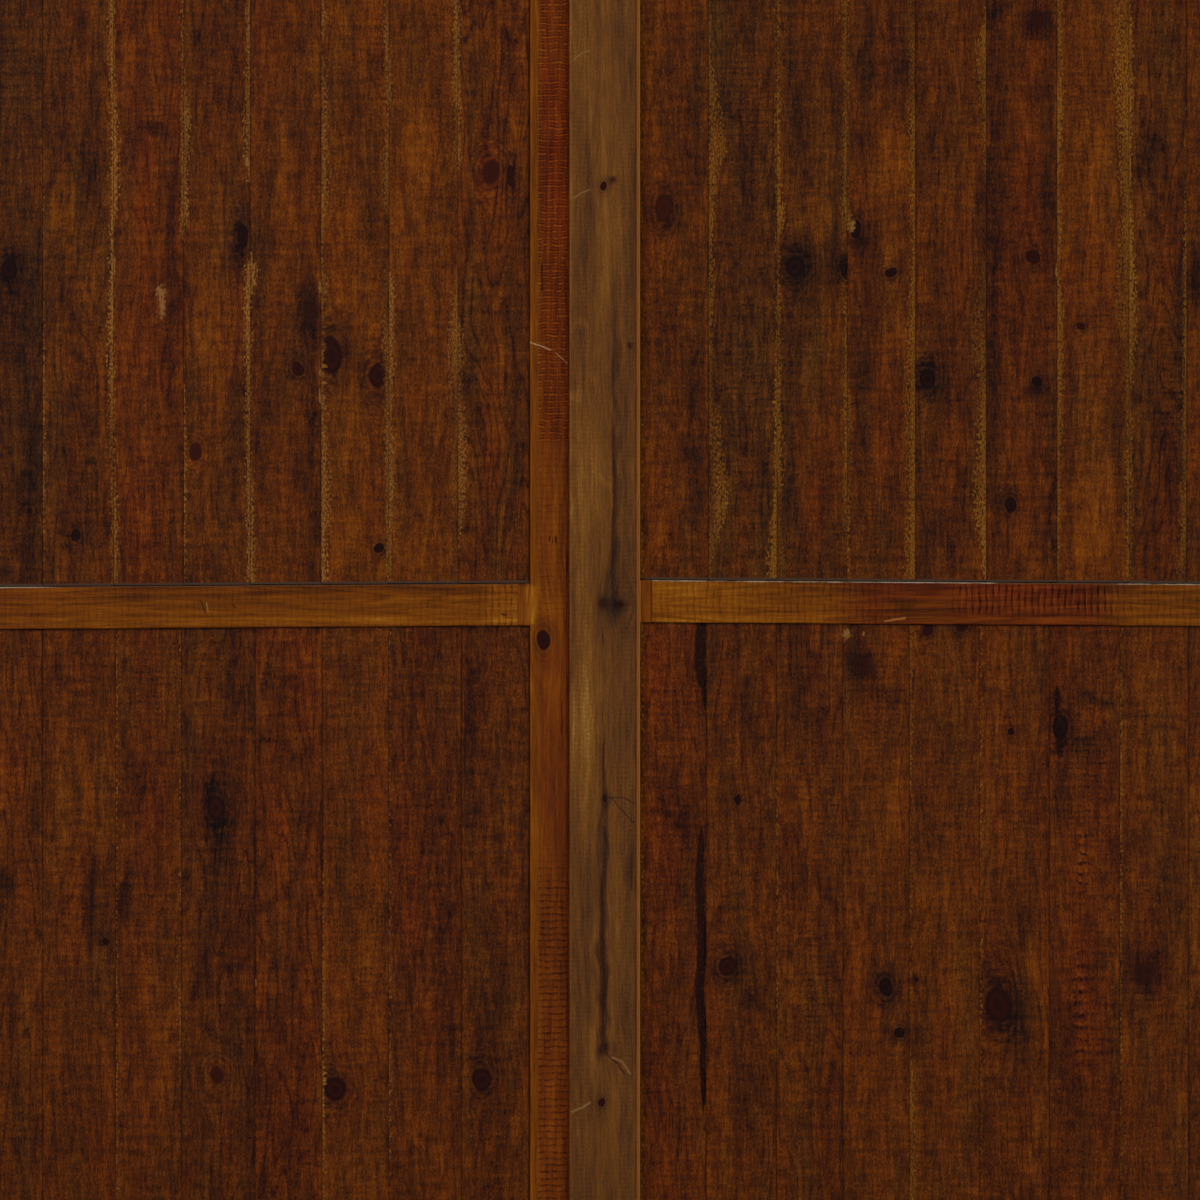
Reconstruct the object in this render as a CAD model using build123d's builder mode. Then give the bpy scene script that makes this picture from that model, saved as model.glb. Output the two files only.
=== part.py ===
from build123d import *
from math import atan2, degrees, hypot
import os

# A pair of framed and boarded barn door leaves, hung on hook-and-band hinges in a timber frame.
# Millimetres. X runs across the doorway from its centre, Y runs from the front faces of the
# leaves to the back, and Z runs up from the floor. Left and right are as seen from the front.
# Places within a leaf are given by u, the distance from the doorway's centre towards the hinges.

# Doorway and leaves
opening_width = 2444
leaf_height = 2400
leaf_thickness = 45
floor_gap = 10
side_gap = 4
head_gap = 4
corner_clearance = 0.5

# Stiles and rails, with a rebate in front that takes the boards
stile_width = 110
top_rail_face = 90
mid_rail_face = 70
bottom_rail_face = 140
rebate_width = 20
rebate_depth = 25
mid_rail_height = 1225
mid_rail_step = 5.5
mid_rail_fall = 7
member_arris = 1.5

# Mortises and tenons between the rails and the stiles
tenon_thickness = 15
tenon_setback = 15
tenon_length = 75
tenon_shoulder = 6
tenon_haunch = 25
mortise_end_gap = 2

# Tongued and grooved boards
boards_per_panel = 9
board_recess = 5
board_arris = 1.5
joint_gap = 2
panel_edge_gap = 1
board_end_gap = 1
tongue_thickness = 6
tongue_length = 9
tongue_clearance = 0.2
tongue_end_gap = 1.5

# How far each joint lies from even spacing, from the meeting stile outwards
joint_shifts = {
    ("left", "upper"): (5, 5, 3, 6, 2, 4, 7, 3),
    ("left", "lower"): (-1, 5, 1, -2, 6, 0, 7, 3),
    ("right", "upper"): (-1, -2, 0, -1, 2, 5, 10, -9),
    ("right", "lower"): (-5, -3, -7, -11, -9, -8, -5, -6),
}

# Diagonal braces behind the boards
brace_width = 90

# Cover strip over the meeting stiles, fixed to the right leaf
strip_width = 111
strip_lap = 25.5
strip_thickness = 20
strip_relief = 0.4
strip_arris = 1.5

# Timber frame round the leaves
jamb_width = 95
frame_depth = 110
head_height = 95
stop_lap = 15
stop_gap = 1.5
frame_tenon_width = 60
frame_tenon_thickness = 20
frame_tenon_height = 45
wall_hole_radius = 5.5
wall_counterbore_radius = 12
wall_counterbore_depth = 15
wall_hole_count = 4
wall_hole_spacing = 650
wall_hole_height = 250

# Hook-and-band hinges on the front
strap_length = 450
strap_thickness = 6
strap_tip_width = 30
strap_edge = 1
eye_height = 40
eye_wall = 6
eye_face_gap = 0.5
pin_radius = 8
pin_clearance = 0.3
pin_rise = 8
pin_edge = 2
hook_seat_gap = 0.3
hook_boss_radius = 13
hook_boss_height = 24
hook_plate_width = 64
hook_plate_height = 80
hook_plate_thickness = 6
hook_plate_gap = 4
hook_nail_inset = 14
hook_nail_length = 60

# Forged nails of square section with rose heads; those of the straps are clenched behind
nail_size = 7
nail_clearance = 0.2
nail_head_size = 20
nail_head_height = 5
nail_head_slope = 50
clench_length = 32
clench_thickness = 4
strap_tip_inset = 18

# Sliding bolts on the back
bar_radius = 7
bar_lift = 5
bar_edge = 1.5
bar_travel = 60
bar_tail = 20
slide_plate_length = 240
slide_plate_width = 44
slide_plate_thickness = 3
slide_plate_setback = 6
guide_length = 14
guide_width = 34
guide_wall = 4
guide_clearance = 0.3
knob_radius = 6
knob_length = 30
knob_edge = 1.5
knob_rest_gap = 4
bolt_tip_gap = 4
keep_length = 44
keep_clearance = 2
keep_legs = 5
socket_clearance = 3
socket_depth = 70

sides = {"left": -1, "right": 1}
rails = ("bottom", "mid", "top")
panels = {"lower": ("bottom", "mid"), "upper": ("mid", "top")}

# Hinge pivot: the eye stands clear of the frame's front face and is centred on the side gap.
eye_radius = pin_radius + pin_clearance + eye_wall
pivot_y = -(eye_radius + eye_face_gap)
pivot_x = (opening_width - side_gap) / 2

# The back corner of a leaf swings this far past its closed place before it clears the other leaf.
swing_in = (leaf_thickness - pivot_y) ** 2 / opening_width
meeting_gap = 2 * (swing_in + corner_clearance)

# A leaf, across
meeting_edge = meeting_gap / 2
hinge_edge = opening_width / 2 - side_gap
inner_shoulder = meeting_edge + stile_width
outer_shoulder = hinge_edge - stile_width
inner_face = inner_shoulder - rebate_width
outer_face = outer_shoulder + rebate_width

# A leaf, upwards
leaf_bottom = floor_gap
leaf_top = leaf_bottom + leaf_height
head_underside = leaf_top + head_gap
stop_underside = head_underside - stop_lap
strap_heights = (leaf_bottom + bottom_rail_face / 2, leaf_top - top_rail_face / 2)

# Frame, across and in depth
jamb_face = opening_width / 2
jamb_outside = jamb_face + jamb_width
stop_face = jamb_face - stop_lap
stop_y = leaf_thickness + stop_gap
frame_tenon_x = jamb_face + jamb_width / 2
frame_tenon_y = (stop_y + frame_depth) / 2
wall_hole_heights = [wall_hole_height + wall_hole_spacing * n for n in range(wall_hole_count)]

# Strap nails: one in the middle of the hinge stile, one near the tip, and one halfway between
first_nail = hinge_edge - stile_width / 2
last_nail = pivot_x - strap_length + strap_tip_inset
strap_nails = (first_nail, (first_nail + last_nail) / 2, last_nail)
nail_hole = nail_size + 2 * nail_clearance

# Hooks: the eye sits on the boss, and the plate stands beside the eye
hook_plate_x = pivot_x + eye_radius + hook_plate_gap + hook_plate_width / 2
hook_boss_drop = eye_height / 2 + hook_seat_gap
hook_plate_drop = hook_boss_drop + hook_boss_height / 2
hook_nail_spacing = hook_plate_height - 2 * hook_nail_inset

# Sliding bolts: how high a bar runs over the leaf, and where its guides and knob are, seen from its tip
bar_height = slide_plate_thickness + bar_lift + bar_radius
bar_y = leaf_thickness + bar_height
bar_length = slide_plate_setback + slide_plate_length + bar_travel + bar_tail
guide_height = bar_height + bar_radius + guide_wall
far_guide = slide_plate_setback + slide_plate_length - guide_length / 2
near_guide = slide_plate_setback + guide_length / 2
guide_places = (near_guide, (near_guide + far_guide) / 2, far_guide)
knob_place = far_guide - guide_length / 2 - knob_rest_gap - knob_radius
bolt_line = meeting_edge + stile_width / 2


def front_plane(y):
    """Upright plane at depth y, facing the front, with X across and Z up."""
    return Plane.XZ.offset(-y)


def rail_lines(side, rail, u):
    """Heights at u of a rail's back edge, face edge, face edge and back edge, from the lowest."""
    if rail == "bottom":
        return (
            leaf_bottom,
            leaf_bottom,
            leaf_bottom + bottom_rail_face,
            leaf_bottom + bottom_rail_face + rebate_width,
        )
    if rail == "top":
        return (
            leaf_top - top_rail_face - rebate_width,
            leaf_top - top_rail_face,
            leaf_top,
            leaf_top,
        )
    fall = mid_rail_fall * (u - inner_shoulder) / (outer_shoulder - inner_shoulder)
    step = mid_rail_step if side == "left" else 0
    centre = leaf_bottom + mid_rail_height - step - fall
    half_face = mid_rail_face / 2
    return (
        centre - half_face - rebate_width,
        centre - half_face,
        centre + half_face,
        centre + half_face + rebate_width,
    )


def rail_back(side, rail, u):
    """Lowest and highest line of a rail at u, behind its rebates."""
    return rail_lines(side, rail, u)[::3]


def rail_face(side, rail, u):
    """Lowest and highest line of a rail's face at u."""
    return rail_lines(side, rail, u)[1:3]


def rail_tenon(side, rail, u):
    """Lowest and highest line of a rail's tenon at u."""
    low, high = rail_face(side, rail, u)
    below = tenon_haunch if rail == "bottom" else tenon_shoulder
    above = tenon_haunch if rail == "top" else tenon_shoulder
    return low + below, high - above


def panel_front(side, panel, u):
    """Lowest and highest line of a panel's boards at u, between the faces of two rails."""
    below, above = panels[panel]
    return rail_face(side, below, u)[1], rail_face(side, above, u)[0]


def panel_back(side, panel, u):
    """Lowest and highest line of the opening behind a panel at u."""
    below, above = panels[panel]
    return rail_back(side, below, u)[1], rail_back(side, above, u)[0]


def band(lines, side, name, near, far):
    """Corners of the band between the two lines of a rail or panel, from u = near to u = far."""
    across = sides[side]
    near_low, near_high = lines(side, name, near)
    far_low, far_high = lines(side, name, far)
    return [
        (across * near, near_low),
        (across * far, far_low),
        (across * far, far_high),
        (across * near, near_high),
    ]


def make_rail(side, rail):
    """A rail with its rebates, its two tenons and the holes of the strap nails."""
    across = sides[side]
    with BuildPart() as member:
        with BuildSketch(front_plane(leaf_thickness)):
            with BuildLine():
                Polyline(band(rail_back, side, rail, inner_shoulder, outer_shoulder), close=True)
            make_face()
        extrude(amount=leaf_thickness - rebate_depth)
        with BuildSketch(front_plane(rebate_depth)):
            with BuildLine():
                Polyline(band(rail_face, side, rail, inner_shoulder, outer_shoulder), close=True)
            make_face()
        extrude(amount=rebate_depth)
        long_edges = member.edges().group_by(Axis.Y)[0].sort_by(SortBy.LENGTH)[-2:]
        chamfer(long_edges, length=member_arris)
        with BuildSketch(front_plane(tenon_setback + tenon_thickness)):
            with BuildLine():
                ends = (inner_shoulder - tenon_length, outer_shoulder + tenon_length)
                Polyline(band(rail_tenon, side, rail, *ends), close=True)
            make_face()
        extrude(amount=tenon_thickness)
        if rail != "mid":
            strap_height = strap_heights[0 if rail == "bottom" else 1]
            with BuildSketch(front_plane(leaf_thickness)):
                with Locations(*[(across * u, strap_height) for u in strap_nails]):
                    Rectangle(nail_hole, nail_hole)
            extrude(amount=leaf_thickness, mode=Mode.SUBTRACT)
    return member.part


def make_stile(side, which):
    """A stile with stopped rebates beside the panels, and mortises for the three rails."""
    across = sides[side]
    if which == "meeting":
        edge, face, shoulder = meeting_edge, inner_face, inner_shoulder
        mortise_end = shoulder - tenon_length - mortise_end_gap
    else:
        edge, face, shoulder = hinge_edge, outer_face, outer_shoulder
        mortise_end = shoulder + tenon_length + mortise_end_gap
    with BuildPart() as member:
        with BuildSketch(Plane.XY.offset(leaf_bottom)):
            with Locations((across * (edge + shoulder) / 2, leaf_thickness / 2)):
                Rectangle(stile_width, leaf_thickness)
        extrude(amount=leaf_height)
        with BuildSketch(front_plane(rebate_depth)):
            for panel in panels:
                low, high = panel_front(side, panel, shoulder)
                with Locations((across * (face + shoulder) / 2, (low + high) / 2)):
                    Rectangle(rebate_width, high - low)
        extrude(amount=rebate_depth, mode=Mode.SUBTRACT)
        front_edges = member.edges().group_by(Axis.Y)[0].filter_by(Axis.Z)
        outer_edges = front_edges.filter_by_position(
            Axis.X, min(across * edge, across * face), max(across * edge, across * face)
        )
        chamfer(outer_edges, length=member_arris)
        for rail in rails:
            with BuildSketch(front_plane(tenon_setback + tenon_thickness)):
                with BuildLine():
                    Polyline(band(rail_tenon, side, rail, mortise_end, shoulder), close=True)
                make_face()
            extrude(amount=tenon_thickness, mode=Mode.SUBTRACT)
        if which == "hinge":
            with BuildSketch(front_plane(leaf_thickness)):
                with Locations(*[(across * first_nail, z) for z in strap_heights]):
                    Rectangle(nail_hole, nail_hole)
            extrude(amount=leaf_thickness, mode=Mode.SUBTRACT)
    return member.part


def joint_line(side, panel, number):
    """Where the joint after a board lies, counted from the meeting stile; 0 is the panel's edge."""
    even = inner_face + (outer_face - inner_face) * number / boards_per_panel
    shifts = (0, *joint_shifts[side, panel])
    return even + (shifts[number] if 0 < number < boards_per_panel else 0)


def make_board(side, panel, number):
    """A board with an arris in front, a groove towards the meeting stile and a tongue away from it."""
    across = sides[side]
    first, last = number == 1, number == boards_per_panel
    near = joint_line(side, panel, number - 1) + (panel_edge_gap if first else joint_gap / 2)
    far = joint_line(side, panel, number) - (panel_edge_gap if last else joint_gap / 2)
    middle = (board_recess + rebate_depth) / 2
    tongue = tongue_thickness / 2
    groove = tongue + tongue_clearance
    tongue_end = far + tongue_length
    groove_end = near + tongue_length - joint_gap + tongue_end_gap
    outline = [
        (near, board_recess + board_arris),
        (near + board_arris, board_recess),
        (far - board_arris, board_recess),
        (far, board_recess + board_arris),
    ]
    if not last:
        outline += [
            (far, middle - tongue),
            (tongue_end, middle - tongue),
            (tongue_end, middle + tongue),
            (far, middle + tongue),
        ]
    outline += [(far, rebate_depth), (near, rebate_depth)]
    if not first:
        outline += [
            (near, middle + groove),
            (groove_end, middle + groove),
            (groove_end, middle - groove),
            (near, middle - groove),
        ]
    foot = max(panel_front(side, panel, u)[0] for u in (near, far)) + board_end_gap
    top = min(panel_front(side, panel, u)[1] for u in (near, far)) - board_end_gap
    with BuildPart() as board:
        with BuildSketch(Plane.XY.offset(foot)):
            with BuildLine():
                Polyline([(across * u, y) for u, y in outline], close=True)
            make_face()
        extrude(amount=top - foot)
    return board.part


def make_braces(side):
    """One diagonal brace in each panel, rising from the hinge stile to the meeting stile."""
    across = sides[side]
    with BuildPart() as braces:
        for panel in panels:
            low = panel_back(side, panel, outer_shoulder)[0]
            high = panel_back(side, panel, inner_shoulder)[1]
            run = outer_shoulder - inner_shoulder
            centre = (across * (inner_shoulder + outer_shoulder) / 2, (low + high) / 2)
            slope = degrees(atan2(high - low, -across * run))
            with BuildSketch(front_plane(leaf_thickness)):
                with BuildLine():
                    Polyline(band(panel_back, side, panel, inner_shoulder, outer_shoulder), close=True)
                make_face()
                with Locations(centre):
                    Rectangle(
                        2 * hypot(run, high - low), brace_width, rotation=slope, mode=Mode.INTERSECT
                    )
            extrude(amount=leaf_thickness - rebate_depth)
    return braces.part


def make_strip():
    """The cover strip, relieved behind where it laps the left leaf."""
    left = -strip_lap
    right = left + strip_width
    with BuildPart() as strip:
        with BuildSketch(Plane.XY.offset(leaf_bottom)):
            with BuildLine():
                Polyline(
                    (left, -strip_relief),
                    (meeting_edge, -strip_relief),
                    (meeting_edge, 0),
                    (right, 0),
                    (right, -strip_thickness),
                    (left, -strip_thickness),
                    close=True,
                )
            make_face()
        extrude(amount=leaf_height)
        chamfer(strip.faces().sort_by(Axis.Y)[0].edges().filter_by(Axis.Z), length=strip_arris)
    return strip.part


def make_jamb(side):
    """A jamb with its stop, a tenon into the head, wall holes and the holes of the hook nails."""
    across = sides[side]
    outline = [
        (jamb_face, 0),
        (jamb_outside, 0),
        (jamb_outside, frame_depth),
        (stop_face, frame_depth),
        (stop_face, stop_y),
        (jamb_face, stop_y),
    ]
    with BuildPart() as jamb:
        with BuildSketch():
            with BuildLine():
                Polyline([(across * x, y) for x, y in outline], close=True)
            make_face()
        extrude(amount=head_underside)
        chamfer(jamb.faces().sort_by(Axis.Y)[0].edges().filter_by(Axis.Z), length=member_arris)
        with BuildSketch(Plane.XY.offset(head_underside)):
            with Locations((across * frame_tenon_x, frame_tenon_y)):
                Rectangle(frame_tenon_width, frame_tenon_thickness)
        extrude(amount=frame_tenon_height)
        doorway_side = Plane(
            origin=(across * stop_face, frame_tenon_y, 0), x_dir=(0, -across, 0), z_dir=(-across, 0, 0)
        )
        with Locations(*[doorway_side * Pos(0, z, 0) for z in wall_hole_heights]):
            CounterBoreHole(wall_hole_radius, wall_counterbore_radius, wall_counterbore_depth)
        with BuildSketch(front_plane(hook_nail_length)):
            for z in strap_heights:
                with Locations((across * hook_plate_x, z - hook_plate_drop)):
                    with GridLocations(0, hook_nail_spacing, 1, 2):
                        Rectangle(nail_hole, nail_hole)
        extrude(amount=hook_nail_length, mode=Mode.SUBTRACT)
    return jamb.part


def make_head():
    """The head with its stop, two mortises and the socket of the top bolt."""
    with BuildPart() as head:
        with BuildSketch(Plane.XY.offset(head_underside)):
            with Locations((0, frame_depth / 2)):
                Rectangle(2 * jamb_outside, frame_depth)
        extrude(amount=head_height)
        with BuildSketch(Plane.XY.offset(stop_underside)):
            with Locations((0, (stop_y + frame_depth) / 2)):
                Rectangle(2 * stop_face, frame_depth - stop_y)
        extrude(amount=stop_lap)
        chamfer(head.faces().sort_by(Axis.Y)[0].edges().filter_by(Axis.X), length=member_arris)
        with BuildSketch(Plane.XY.offset(head_underside)):
            with Locations((-frame_tenon_x, frame_tenon_y), (frame_tenon_x, frame_tenon_y)):
                Rectangle(frame_tenon_width, frame_tenon_thickness)
        extrude(amount=frame_tenon_height + mortise_end_gap, mode=Mode.SUBTRACT)
        with BuildSketch(Plane.XY.offset(stop_underside)):
            with Locations((-bolt_line, bar_y)):
                Rectangle(2 * (bar_radius + socket_clearance), 2 * (bar_radius + socket_clearance))
        extrude(amount=socket_depth, mode=Mode.SUBTRACT)
    return head.part


def make_strap(side, height):
    """A tapered strap with a round tip, rolled at its other end into an eye for the hook's pin."""
    across = sides[side]
    tip = pivot_x - strap_length + strap_tip_width / 2
    pivot = (across * pivot_x, pivot_y)
    with BuildPart() as strap:
        with BuildSketch(front_plane(0)):
            with BuildLine():
                Polyline(
                    (across * pivot_x, height - eye_height / 2),
                    (across * pivot_x, height + eye_height / 2),
                    (across * tip, height + strap_tip_width / 2),
                    (across * tip, height - strap_tip_width / 2),
                    close=True,
                )
            make_face()
            with Locations((across * tip, height)):
                Circle(strap_tip_width / 2)
        extrude(amount=strap_thickness)
        chamfer(strap.faces().sort_by(Axis.Y)[0].edges(), length=strap_edge)
        with BuildSketch(Plane.XY.offset(height - eye_height / 2)):
            with Locations(pivot):
                Circle(eye_radius)
        extrude(amount=eye_height)
        with BuildSketch(Plane.XY.offset(height - eye_height / 2)):
            with Locations(pivot):
                Circle(pin_radius + pin_clearance)
        extrude(amount=eye_height, mode=Mode.SUBTRACT)
        with BuildSketch(front_plane(0)):
            with Locations(*[(across * u, height) for u in strap_nails]):
                Rectangle(nail_hole, nail_hole)
        extrude(amount=strap_thickness, mode=Mode.SUBTRACT)
    return strap.part


def make_strap_nails(side, height):
    """The nails of one strap, driven through the leaf and bent over on its back."""
    places = [(sides[side] * u, height) for u in strap_nails]
    clenched_places = [(x, z - (clench_length - nail_size) / 2) for x, z in places]
    with BuildPart() as nails:
        with BuildSketch(front_plane(-strap_thickness)):
            with Locations(*places):
                Rectangle(nail_head_size, nail_head_size)
        extrude(amount=nail_head_height, taper=nail_head_slope)
        with BuildSketch(front_plane(leaf_thickness)):
            with Locations(*places):
                Rectangle(nail_size, nail_size)
        extrude(amount=leaf_thickness + strap_thickness)
        with BuildSketch(front_plane(leaf_thickness + clench_thickness)):
            with Locations(*clenched_places):
                Rectangle(nail_size, clench_length)
        extrude(amount=clench_thickness)
    return nails.part.solids()


def make_hook(side, height):
    """A hook: a plate on the jamb, an arm with a boss under the eye, and the pin through the eye."""
    across = sides[side]
    boss_top = height - hook_boss_drop
    boss_foot = boss_top - hook_boss_height
    pivot = (across * pivot_x, pivot_y)
    with BuildPart() as hook:
        with BuildSketch(front_plane(0)):
            with Locations((across * hook_plate_x, height - hook_plate_drop)):
                Rectangle(hook_plate_width, hook_plate_height)
        extrude(amount=hook_plate_thickness)
        chamfer(hook.faces().sort_by(Axis.Y)[0].edges(), length=strap_edge)
        with BuildSketch(Plane.XY.offset(boss_foot)):
            with Locations(pivot):
                Circle(hook_boss_radius)
            with BuildLine():
                Polyline(
                    (across * pivot_x, 0),
                    (across * hook_plate_x, 0),
                    (across * hook_plate_x, -hook_plate_thickness),
                    (across * pivot_x, pivot_y - hook_boss_radius),
                    close=True,
                )
            make_face()
        extrude(amount=hook_boss_height)
        with BuildSketch(Plane.XY.offset(boss_top)):
            with Locations(pivot):
                Circle(pin_radius)
        extrude(amount=hook_seat_gap + eye_height + pin_rise)
        chamfer(hook.faces().sort_by(Axis.Z)[-1].edges(), length=pin_edge)
        with BuildSketch(front_plane(0)):
            with Locations((across * hook_plate_x, height - hook_plate_drop)):
                with GridLocations(0, hook_nail_spacing, 1, 2):
                    Rectangle(nail_hole, nail_hole)
        extrude(amount=hook_plate_thickness, mode=Mode.SUBTRACT)
    return hook.part


def make_hook_nails(side, height):
    """The two nails that hold a hook to its jamb."""
    place = (sides[side] * hook_plate_x, height - hook_plate_drop)
    with BuildPart() as nails:
        with BuildSketch(front_plane(-hook_plate_thickness)):
            with Locations(place):
                with GridLocations(0, hook_nail_spacing, 1, 2):
                    Rectangle(nail_head_size, nail_head_size)
        extrude(amount=nail_head_height, taper=nail_head_slope)
        with BuildSketch(front_plane(hook_nail_length)):
            with Locations(place):
                with GridLocations(0, hook_nail_spacing, 1, 2):
                    Rectangle(nail_size, nail_size)
        extrude(amount=hook_nail_length + hook_plate_thickness)
    return nails.part.solids()


def make_slide_plates(*planes):
    """Back plates with three guides each; in a plane, X is the way the bolt is thrown."""
    with BuildPart(*planes) as plate:
        with Locations((-slide_plate_setback, 0, 0)):
            Box(
                slide_plate_length,
                slide_plate_width,
                slide_plate_thickness,
                align=(Align.MAX, Align.CENTER, Align.MIN),
            )
        with Locations(*[(-place, 0, 0) for place in guide_places]):
            Box(
                guide_length,
                guide_width,
                guide_height,
                align=(Align.CENTER, Align.CENTER, Align.MIN),
            )
        with Locations((0, 0, bar_height)):
            Cylinder(
                bar_radius + guide_clearance,
                2 * bar_length,
                rotation=(0, 90, 0),
                mode=Mode.SUBTRACT,
            )
    return plate.part.solids()


def make_bar(plane):
    """A round bolt with a knob, in its guides, drawn back; in the plane, X is the way it is thrown."""
    with BuildPart(plane) as bar:
        with Locations((-bar_length / 2, 0, bar_height)):
            Cylinder(bar_radius, bar_length, rotation=(0, 90, 0))
        chamfer(bar.faces().filter_by(GeomType.PLANE).edges(), length=bar_edge)
        with Locations((-knob_place, 0, bar_height)):
            Cylinder(knob_radius, knob_length, align=(Align.CENTER, Align.CENTER, Align.MIN))
        chamfer(bar.faces().sort_by(Axis.Y)[-1].edges(), length=knob_edge)
    return bar.part


def make_keep(plane):
    """The keep on the left leaf: a plate with a staple that the right leaf's bolt runs through."""
    gap = bar_radius + keep_clearance
    with BuildPart(plane) as keep:
        Box(
            keep_length,
            2 * (gap + keep_legs),
            bar_height + gap + keep_legs,
            align=(Align.CENTER, Align.CENTER, Align.MIN),
        )
        with Locations((0, 0, slide_plate_thickness)):
            Box(
                keep_length,
                2 * gap,
                bar_height + gap - slide_plate_thickness,
                align=(Align.CENTER, Align.CENTER, Align.MIN),
                mode=Mode.SUBTRACT,
            )
    return keep.part


def slide_plane(x, z, thrown):
    """Plane on the back of the leaves at a drawn bolt's tip, with X the way it is thrown."""
    return Plane(origin=(x, leaf_thickness, z), x_dir=thrown, z_dir=(0, 1, 0))


def write(name, shape):
    """Labels a piece, or a group of loose solids, and writes it."""
    if isinstance(shape, list):
        shape = Compound(children=shape)
    shape.label = name
    export_step(shape, f"parts/{name}.step")


os.makedirs("parts", exist_ok=True)

for side in sides:
    for which in ("meeting", "hinge"):
        write(f"{side}_{which}_stile", make_stile(side, which))
    for rail in rails:
        write(f"{side}_{rail}_rail", make_rail(side, rail))
    for panel in panels:
        for number in range(1, boards_per_panel + 1):
            write(f"{side}_{panel}_board_{number}", make_board(side, panel, number))
    write(f"{side}_braces", make_braces(side))
    write(f"{side}_jamb", make_jamb(side))
    straps = []
    for height in strap_heights:
        straps += [make_strap(side, height), *make_strap_nails(side, height)]
    write(f"{side}_hinge_straps", straps)

write("meeting_strip", make_strip())
write("head", make_head())

hooks = []
for side in sides:
    for height in strap_heights:
        hooks += [make_hook(side, height), *make_hook_nails(side, height)]
write("hinge_hooks", hooks)

# Bolts: up into the head and down into the floor on the left leaf, and across on the right leaf
lock_height = sum(rail_face("right", "mid", inner_shoulder)) / 2
top_plane = slide_plane(-bolt_line, stop_underside - bolt_tip_gap, (0, 0, 1))
bottom_plane = slide_plane(-bolt_line, leaf_bottom + bolt_tip_gap, (0, 0, -1))
lock_plane = slide_plane(meeting_edge + bolt_tip_gap, lock_height, (-1, 0, 0))
keep_x = -(meeting_edge + bolt_tip_gap + keep_length / 2)
keep_plane = slide_plane(keep_x, lock_height, (-1, 0, 0))

write("left_top_bolt", make_bar(top_plane))
write("left_bottom_bolt", make_bar(bottom_plane))
write("right_bolt", make_bar(lock_plane))
write("left_bolt_plates", [*make_slide_plates(top_plane, bottom_plane), make_keep(keep_plane)])
write("right_bolt_plate", make_slide_plates(lock_plane))
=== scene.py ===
import math
import random

import bmesh
import bpy
import numpy as np
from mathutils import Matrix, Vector


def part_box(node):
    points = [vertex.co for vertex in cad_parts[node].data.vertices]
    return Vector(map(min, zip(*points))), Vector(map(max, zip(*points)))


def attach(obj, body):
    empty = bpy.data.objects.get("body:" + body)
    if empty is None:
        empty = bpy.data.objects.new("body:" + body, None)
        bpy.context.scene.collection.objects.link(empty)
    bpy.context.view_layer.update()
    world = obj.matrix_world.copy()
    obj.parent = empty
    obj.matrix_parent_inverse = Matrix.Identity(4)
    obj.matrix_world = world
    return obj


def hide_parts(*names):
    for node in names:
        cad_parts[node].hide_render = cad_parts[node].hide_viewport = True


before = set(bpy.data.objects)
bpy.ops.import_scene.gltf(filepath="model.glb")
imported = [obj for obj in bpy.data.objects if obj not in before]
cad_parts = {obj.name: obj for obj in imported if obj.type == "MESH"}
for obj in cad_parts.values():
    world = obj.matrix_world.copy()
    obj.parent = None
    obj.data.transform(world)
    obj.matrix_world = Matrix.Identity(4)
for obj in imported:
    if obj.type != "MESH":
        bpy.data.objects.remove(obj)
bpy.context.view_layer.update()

# A pair of framed and boarded barn door leaves in a timber frame: materials, boards with worn and
# split edges, the cover strip, and small fixings. Metres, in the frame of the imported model.

# Where the photograph's pixels lie on the front of the leaves
PIXEL = 1 / 600
CENTRE_COLUMN = 585
CENTRE_ROW = 600
CENTRE_HEIGHT = 1.237


def place_x(column):
    return (column - CENTRE_COLUMN) * PIXEL


def place_z(row):
    return CENTRE_HEIGHT - (row - CENTRE_ROW) * PIXEL


class Field:
    """A number, vector or colour that varies over a surface."""

    def __init__(self, shader, socket):
        self.shader = shader
        self.socket = socket

    def __add__(self, other):
        return self.shader.math("ADD", self, other)

    def __sub__(self, other):
        return self.shader.math("SUBTRACT", self, other)

    def __rsub__(self, other):
        return self.shader.math("SUBTRACT", other, self)

    def __mul__(self, other):
        return self.shader.math("MULTIPLY", self, other)


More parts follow.
